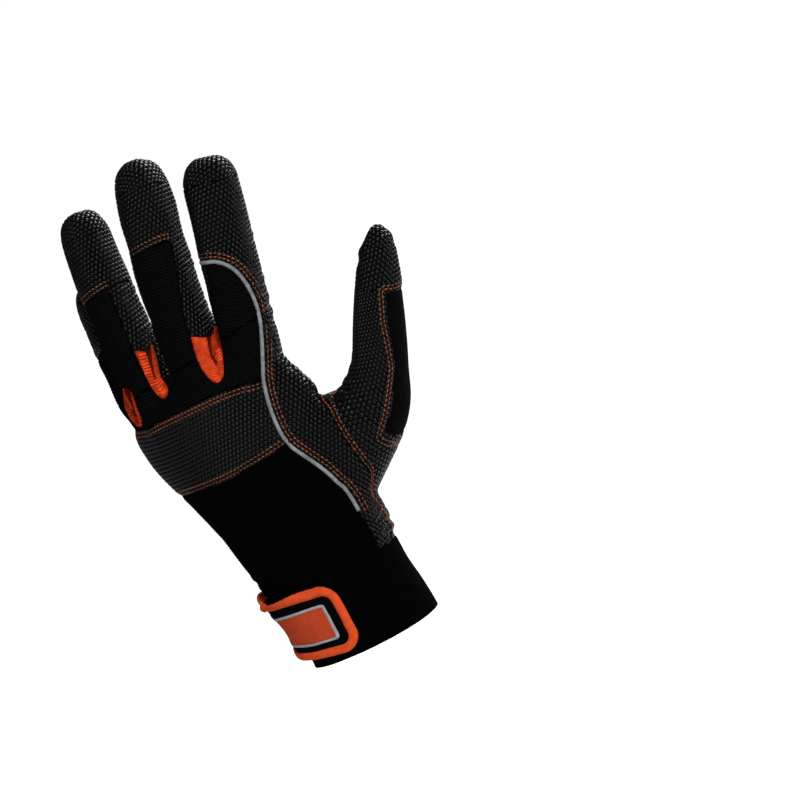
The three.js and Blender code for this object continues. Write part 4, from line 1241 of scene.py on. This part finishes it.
def tones(colour, low, high):
    """The two stops of a ramp, as shares of a colour."""
    return (0.3, tuple(c * low for c in colour)), (0.75, tuple(c * high for c in colour))


def knit_material():
    """Black knit with fine wales."""
    colour = (0.0018, 0.0018, 0.0021)
    mat = material("knit_black", colour, 0.95, 0.03)
    coords = object_coords(mat)
    wales = add_node(mat, "ShaderNodeTexWave", Scale=420.0, Distortion=1.2, Detail=1.0, bands_direction="X")
    link(mat, coords, wales.inputs["Vector"])
    speckle(mat, 700, 2, *tones(colour, 0.6, 1.7), noise(mat, 700, 2, coords=coords))
    bump(mat, wales.outputs["Fac"], 0.5, 0.0002)
    return mat


def cloth_material(name, colour, weave, specular=0.06, sheen=0.0, mottle=(0.7, 1.4)):
    """Woven cloth: crossed waves for the weave and mottled colour."""
    mat = material(name, colour, 0.95, specular, sheen)
    coords = object_coords(mat)
    both = add_node(mat, "ShaderNodeMath", operation="MULTIPLY")
    for k, direction in enumerate("XZ"):
        wave = add_node(mat, "ShaderNodeTexWave", Scale=weave, Distortion=0.6, bands_direction=direction)
        link(mat, coords, wave.inputs["Vector"])
        link(mat, wave.outputs["Fac"], both.inputs[k])
    speckle(mat, 350, 3, *tones(colour, *mottle), noise(mat, 350, 3, coords=coords))
    bump(mat, both.outputs[0], 0.6, 0.00015)
    return mat


# Cloths: name, colour, weave's scale, then specular, sheen and mottle where they aren't the usual ones
CLOTHS = {
    "fabric": ("fabric_black", (0.0007, 0.0007, 0.0008), 900.0, 0.01),
    "plush": ("plush_black", (0.0016, 0.0015, 0.0016), 500.0, 0.01, 0.008),
    "orange": ("knit_orange", (0.62, 0.06, 0.012), 620.0, 0.1),
    # painted shade: a darker copy of the orange knit, seen in the gaps between the forks' ribs
    "orange_ground": ("knit_orange_ground", (0.3, 0.022, 0.006), 620.0, 0.02),
    # painted shadow: a dark red copy of the orange knit, laid along each fork's crease
    "fold": ("fold_shadow", (0.07, 0.006, 0.002), 620.0, 0.0),
    "thread": ("thread_orange", (0.3, 0.085, 0.03), 2400.0, 0.1),
    "binding": ("binding_orange", (0.6, 0.065, 0.015), 1100.0, 0.1, 0.0, (0.85, 1.15)),
    "label": ("label_red", (0.45, 0.05, 0.015), 1500.0, 0.1, 0.0, (0.9, 1.1)),
    "silver": ("label_silver", (0.3, 0.31, 0.33), 1500.0, 0.3, 0.0, (0.85, 1.15)),
    "piping": ("piping_grey", (0.17, 0.18, 0.19), 700.0, 0.2),
    "webbing": ("webbing_black", (0.0012, 0.0012, 0.0014), 700.0, 0.02),
}
MATERIALS = {key: cloth_material(*row) for key, row in CLOTHS.items()}
MATERIALS.update(grain=grain_material(), ground=ground_material(), knit=knit_material())


# Pieces


def piece(name, parts, replaces=()):
    """One object from parts of (geometry, material). Each part keeps its own material."""
    verts, tris, marks, start, names = [], [], [], 0, []
    for geometry, key in parts:
        if geometry is None:
            continue
        if key not in names:
            names.append(key)
        v, t = geometry
        verts.append(v)
        tris.append(t + start)
        marks += [names.index(key)] * len(t)
        start += len(v)
    obj = new_object(name + "_sewn" if replaces else name, np.vstack(verts), np.vstack(tris))
    for key in names:
        obj.data.materials.append(MATERIALS[key])
    obj.data.polygons.foreach_set("material_index", marks)
    if replaces:
        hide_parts(*replaces)
    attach(obj, "root")
    return obj


def sewn(name, slot, *parts):
    """A piece in the place of the solid with its name."""
    return piece(name, parts, (name,))


def shell(sheet, key, wall=WALL):
    """A sheet's closed body and its material."""
    return closed_shell(sheet, wall), key


def grained(sheet, keep=None):
    """A sheet's grain and its material."""
    return grain(sheet, keep), "grain"


def grained_halves(sheet, fields, keep=None):
    """Grain over a sheet parted along the zero lines of fields, where it turns out of sight."""
    sheets = [sheet]
    for field in fields:
        sheets = [half for whole in sheets for half in split(whole, field)]
    return [grained(part, keep) for half in sheets for part in islands(half)]


def outside_pads(mid, sheet):
    """True where a grain cell isn't under a pad."""
    fields = np.stack([mid[:, sheet.columns.index(name)] for name in PAD_NAMES], 1)
    return (fields < -0.4).all(1)


def runs(line, columns, test):
    """The stretches of a line of table rows where the test allows it."""
    allowed = test(lambda name: line[:, columns.index(name)])
    start = 0
    for i in range(len(line) + 1):
        if i == len(line) or not allowed[i]:
            yield line[start:i]
            start = i + 1


threads = []


def stitch_rows(sheet, field, test=None, levels=None):
    """Adds rows of stitches where a field has each of the levels, where the test allows."""
    for level in levels or STITCH_ROWS[field]:
        for line in contour(sheet, field, level):
            if test is None:
                threads.append(line)
            else:
                threads.extend(run for run in runs(line, sheet.columns, test) if len(run) > 3)


skin = build_skin()
shape_skin(skin)
skin = clip(skin, skin["rim"] - RIM_HEM)

# The forks and the thumb come off first, as they are sewn in over the rest.
rest = skin
for index, name in enumerate(FORK_NAMES):
    fork, rest = split(rest, name)
    foot, head = (CUFF_HEIGHT + FORK_CREASES[index][k][1] * PALM_HEIGHT for k in (-1, 0))
    # The strip along each fork's crease, widening upwards, is painted shadow in a dark red cloth; the
    # crease's groove itself is shaped in the skin.
    fold_half = FOLD_LOW + (FOLD_HIGH - FOLD_LOW) * smoothstep(foot, head, fork["rim"])
    outer, fold = split(fork, np.maximum(fork[f"crease{index}"] - fold_half, -0.2 - fork["facing"]))
    # The forks' ground shows between the ribs; its darker orange is painted shade.
    shells = [shell(sheet, key) for sheet, key in ((outer, "orange_ground"), (fold, "fold"))
              if len(sheet.tris)]
    sewn(name, "orange_fabric", *shells, *level_ribs(outer, "orange", FORK_RIB_PITCH, FORK_RIB_RISE))

thumb, rest = split(rest, "thumb")
stitch_rows(thumb, "thumb")
patch, thumb_shell = split(thumb, "patch")
stitch_rows(thumb_shell, "patch")
sewn("thumb_back_patch", "plush", shell(patch, "plush"))
sewn("thumb_shell", "leather", shell(thumb_shell, "ground"),
     *grained_halves(thumb_shell, ["thumb_side", "thumb_cap", "thumb_tip"]))

# The fingers, each with a ribbed back and a leather front. The piping ends the index finger's ribs.
above, below = split(rest, "root")
for index, finger in enumerate(FINGERS):
    name = finger[0]
    zone = clip(above, f"own{index}")
    knit_zone = np.minimum(zone["knit"], -zone["cap"] if index else -zone["piping"])
    zone.table = np.hstack([zone.table, knit_zone[:, None], zone["cap"][:, None] + 0.5])
    zone.columns = zone.columns + ["knit_zone", "cap_foot"]
    back, front = split(zone, "knit_zone")
    sewn(f"{name}_finger_back", "knit", shell(back, "fabric"),
         (ribs_round(back, "cap_a", "finger_b"), "knit"))
    fields = ["finger_side", "tip_foot"] + ["cap_foot"] * (index > 0)
    cells = grained_halves(front, fields, outside_pads)
    if index:
        stitch_rows(clip(front, np.minimum(front["knit"], front["cap"])), "cap")
    sewn(f"{name}_finger_front", "leather", shell(front, "ground"), *cells)

# The hand, parted along its seams
cuff, hand = split(below, -below["cuff"])
back, palm = split(hand, "backside")
side, rest = split(back, "piping")
knuckles, rest = split(rest, "upper")
band, lower = split(rest, "lower")
sewn("palm_panel", "leather", shell(palm, "ground"), grained(palm, outside_pads))
sewn("index_side_panel", "leather", shell(side, "ground"), grained(side))
sewn("knuckle_knit", "knit", shell(knuckles, "fabric"), *level_ribs(knuckles, "knit"))
sewn("knuckle_band", "leather", shell(band, "ground"), grained(band))
stitch_rows(band, "upper")
stitch_rows(band, "lower")
sewn("back_panel", "fabric", shell(lower, "fabric"), *level_ribs(lower, "fabric", 1.3, 0.1))
sewn("cuff", "fabric", shell(cuff, "fabric", CUFF_WALL))


def front_face(column):
    """True away from the thumb, on the hand's back or on a finger."""
    return (column("thumb") < -1) & ((column("backside") > 1) | (column("root") > 0))


def on_index(column):
    """True where the back shows the hand or the index finger."""
    return ((column("own0") > -0.5) | (column("root") < 8)) & (column("facing") > -0.1)


# Stitches beside the piping, on the leather of the hand and of the index finger
stitch_rows(clip(skin, "piping"), "piping",
            lambda column: front_face(column) & on_index(column) & (column("cuff") > PIPING_STITCH_STOP))


def tube(line, radius, sides=10, step=0.8):
    """A closed round tube along a line of table rows."""
    rows = resampled(line, step)
    pos, nor = rows[:, :3], unit(rows[:, 3:6])
    along = unit(np.gradient(pos, axis=0))
    side = unit(np.cross(nor, along))
    angle = (np.arange(sides) * 2 * math.pi / sides)[:, None]
    ring = pos[:, None] + (side[:, None] * np.cos(angle) + nor[:, None] * np.sin(angle)) * radius
    return loft(ring)


def piping_seen(column):
    """True where the back shows the cord."""
    outside = (column("backside") > 0) | (column("root") > 0)
    return on_index(column) & outside & (column("cuff") > PIPING_STOP)


# The piping is a round cord along the longest stretch of its seam that the back shows.
cords = [run for line in contour(skin, "piping", 0.0) for run in runs(line, skin.columns, piping_seen)]
sewn("reflective_piping", "piping", (tube(max(cords, key=len), PIPING_RADIUS), "piping"))

# Pads: copies of the leather, blown up with their borders held, with grain and one row of stitches


def puffed(sheets):
    """How far each pad's sheet rises, in millimetres, when air blows it up as cloth held at its border."""
    cloths = {}
    for name, pad in sheets.items():
        obj = new_object(name + "_cloth", pad["pos"], pad.tris, scale=MM * PUFF_SCALE)
        held = obj.vertex_groups.new(name="held")
        held.add(np.flatnonzero(pad[name] < PUFF_HELD).tolist(), 1.0, "REPLACE")
        cloth = obj.modifiers.new("cloth", "CLOTH")
        for key, value in PUFF_SETTINGS.items():
            setattr(cloth.settings, key, value)
        cloth.settings.effector_weights.gravity = 0.0
        cloth.point_cache.frame_end = PUFF_FRAMES
        cloths[name] = obj
    for step in range(1, PUFF_FRAMES + 1):
        bpy.context.scene.frame_set(step)
    rises = {}
    for name, pad in sheets.items():
        moved, _ = evaluated(cloths[name])
        rise = dot(moved / PUFF_SCALE - pad["pos"], unit(pad["nor"]))
        rises[name] = np.clip(evened(pad, rise), 0, PUFF_MOST)
        bpy.data.objects.remove(cloths[name])
    bpy.context.scene.frame_set(1)
    return rises


def evened(sheet, values, rounds=4):
    """Values of a sheet's vertices, each moved towards the mean of its neighbours."""
    tris = sheet.tris
    for _ in range(rounds):
        total = np.zeros(len(values))
        count = np.zeros(len(values))
        mean = values[tris].mean(1)
        np.add.at(total, tris.ravel(), np.repeat(mean, 3))
        np.add.at(count, tris.ravel(), 1.0)
        values = np.where(count > 0, total / np.maximum(count, 1), values)
    return values


def lifted_sheet(sheet, height):
    """A sheet moved out along its normals."""
    moved = sheet.copy()
    moved.table[:, 0:3] += unit(sheet["nor"]) * np.reshape(height, (-1, 1))
    moved.table[:, 3:6] = normals_of(moved["pos"], moved.tris)
    return moved


pad_sheets = {name: clip(skin, name) for name in PAD_NAMES}
pad_rises = puffed(pad_sheets)
for name, pad in pad_sheets.items():
    lifted = pad.copy()
    lifted.table[:, 0:3] += pad["nor"] * (PAD_BASE + pad_rises[name])[:, None]
    lifted.table[:, 3:6] = normals_of(lifted["pos"], lifted.tris)
    obj = sewn(name, "leather", shell(lifted, "ground", PAD_WALL), grained(lifted))
    stitch_rows(lifted, name, levels=(PAD_STITCH,))

for index in range(len(PALM_LINES)):
    stitch_rows(clip(skin, f"palm_near{index}"), f"palm_line{index}", levels=(0.0,))

# All the stitches are one piece.
piece("orange_stitching", [(stitches(threads), "thread")])

# The wrist strap over the cuff
strap = clip(skin, "strap")
stand = STRAP_STAND * smoothstep(*STRAP_STAND_SPAN, strap["seen"])
stand = stand * smoothstep(CUFF_DEPTH / 6, -6, strap["pos"][:, 1])
strap.table[:, 0:3] += unit(strap["nor"]) * stand[:, None]
inner, border = split(strap, strap["strap"] - BINDING_WIDTH)
across = border["strap"] / BINDING_WIDTH * 2 - 1
round_height = STRAP_OUT - 0.1 + BINDING_ROUND * np.sqrt(np.clip(1 - across ** 2, 0, 1))
webbing = lifted_sheet(inner, STRAP_OUT)
sewn("wrist_strap", "fabric", shell(webbing, "webbing", STRAP_THICK),
     (ribs_round(webbing, "back_a", "hand_b", 1.2, 0.15), "webbing"))
sewn("strap_binding", "orange_fabric", shell(lifted_sheet(border, round_height), "binding", STRAP_THICK))
label = clip(inner, "label")
field, edge = split(label, label["label"] - LABEL_EDGE)
sewn("strap_label", "label", shell(lifted_sheet(field, STRAP_OUT + LABEL_OUT), "label", LABEL_THICK),
     shell(lifted_sheet(edge, STRAP_OUT + BORDER_OUT), "silver", BORDER_THICK))


# Camera, floor and light

PHOTO_PX = 800
MM_PER_PX = 0.455
CAMERA_TURN_DEG = 27.0
CAMERA_RISE_DEG = 7.0
CAMERA_ROLL_DEG = 29.0
CAMERA_DISTANCE = 1.9
LOOK_AT = (61.1, 89.3)
SENSOR = 36.0
ROOM_LIGHT = 0.1
FLOOR_DROP = 0.3
FLOOR_HALF = 6
# Lights: name, place in metres, width, power
LIGHTS = [
    ("key", (1.0, -0.9, 1.0), 0.6, 30),
    ("fill", (-1.1, -0.9, 0.5), 0.9, 3.5),
    ("rear", (0.3, 1.2, 0.9), 0.9, 30),
]
LIGHTS_AIM = (0, 0, 0.12)


def add_camera():
    """The photograph's view: turned, raised and rolled."""
    turn, rise, roll = (math.radians(v) for v in (CAMERA_TURN_DEG, CAMERA_RISE_DEG, CAMERA_ROLL_DEG))
    forward = Vector((-math.sin(turn) * math.cos(rise), math.cos(turn) * math.cos(rise), -math.sin(rise)))
    right = Vector((math.cos(turn), math.sin(turn), 0))
    up = right.cross(forward)
    target = (right * LOOK_AT[0] + up * LOOK_AT[1]) * MM
    rolled_right = right * math.cos(roll) - up * math.sin(roll)
    rolled_up = right * math.sin(roll) + up * math.cos(roll)
    data = bpy.data.cameras.new("camera")
    data.sensor_width = SENSOR
    data.lens = SENSOR * CAMERA_DISTANCE / (PHOTO_PX * MM_PER_PX * MM)
    camera = bpy.data.objects.new("camera", data)
    bpy.context.scene.collection.objects.link(camera)
    camera.matrix_world = Matrix((rolled_right, rolled_up, -forward)).transposed().to_4x4()
    camera.location = target - forward * CAMERA_DISTANCE
    bpy.context.scene.camera = camera


def add_area(name, location, size, power):
    """A soft round light turned to the glove."""
    data = bpy.data.lights.new(name, "AREA")
    data.shape = "DISK"
    data.size = size
    data.energy = power
    light = bpy.data.objects.new(name, data)
    light.location = location
    aim = Vector(LIGHTS_AIM) - Vector(location)
    light.rotation_euler = aim.to_track_quat("-Z", "Y").to_euler()
    bpy.context.scene.collection.objects.link(light)


def seen_directly(tree):
    """One for what the camera sees at once, nothing for light that reaches the glove."""
    return tree.nodes.new("ShaderNodeLightPath").outputs["Is Camera Ray"]


def add_room():
    """A world that is white to the camera and gives little light."""
    world = bpy.data.worlds.new("studio")
    bpy.context.scene.world = world
    world.use_nodes = True
    sky = world.node_tree
    sky.nodes["Background"].inputs["Color"].default_value = (1, 1, 1, 1)
    strength = sky.nodes.new("ShaderNodeMapRange")
    strength.inputs["To Min"].default_value = ROOM_LIGHT
    strength.inputs["To Max"].default_value = 1.0
    sky.links.new(seen_directly(sky), strength.inputs["Value"])
    sky.links.new(strength.outputs["Result"], sky.nodes["Background"].inputs["Strength"])
    bpy.context.scene.view_settings.view_transform = "Standard"


def add_floor():
    """A pale floor below the glove, white to the camera."""
    mat = material("studio_floor", (0.8, 0.8, 0.8), 0.9, 0.1)
    shader_input(mat, "Emission Color").default_value = (1, 1, 1, 1)
    link(mat, spread(mat, seen_directly(mat.node_tree), 0.0, 1.0), shader_input(mat, "Emission Strength"))
    corners = np.array([(-1, -1, 0), (1, -1, 0), (1, 1, 0), (-1, 1, 0)]) * FLOOR_HALF
    floor = new_object("floor", corners + (0, 0, -FLOOR_DROP), [(0, 1, 2, 3)], scale=1.0)
    floor.data.materials.append(mat)


add_camera()
for row in LIGHTS:
    add_area(*row)
add_room()
add_floor()
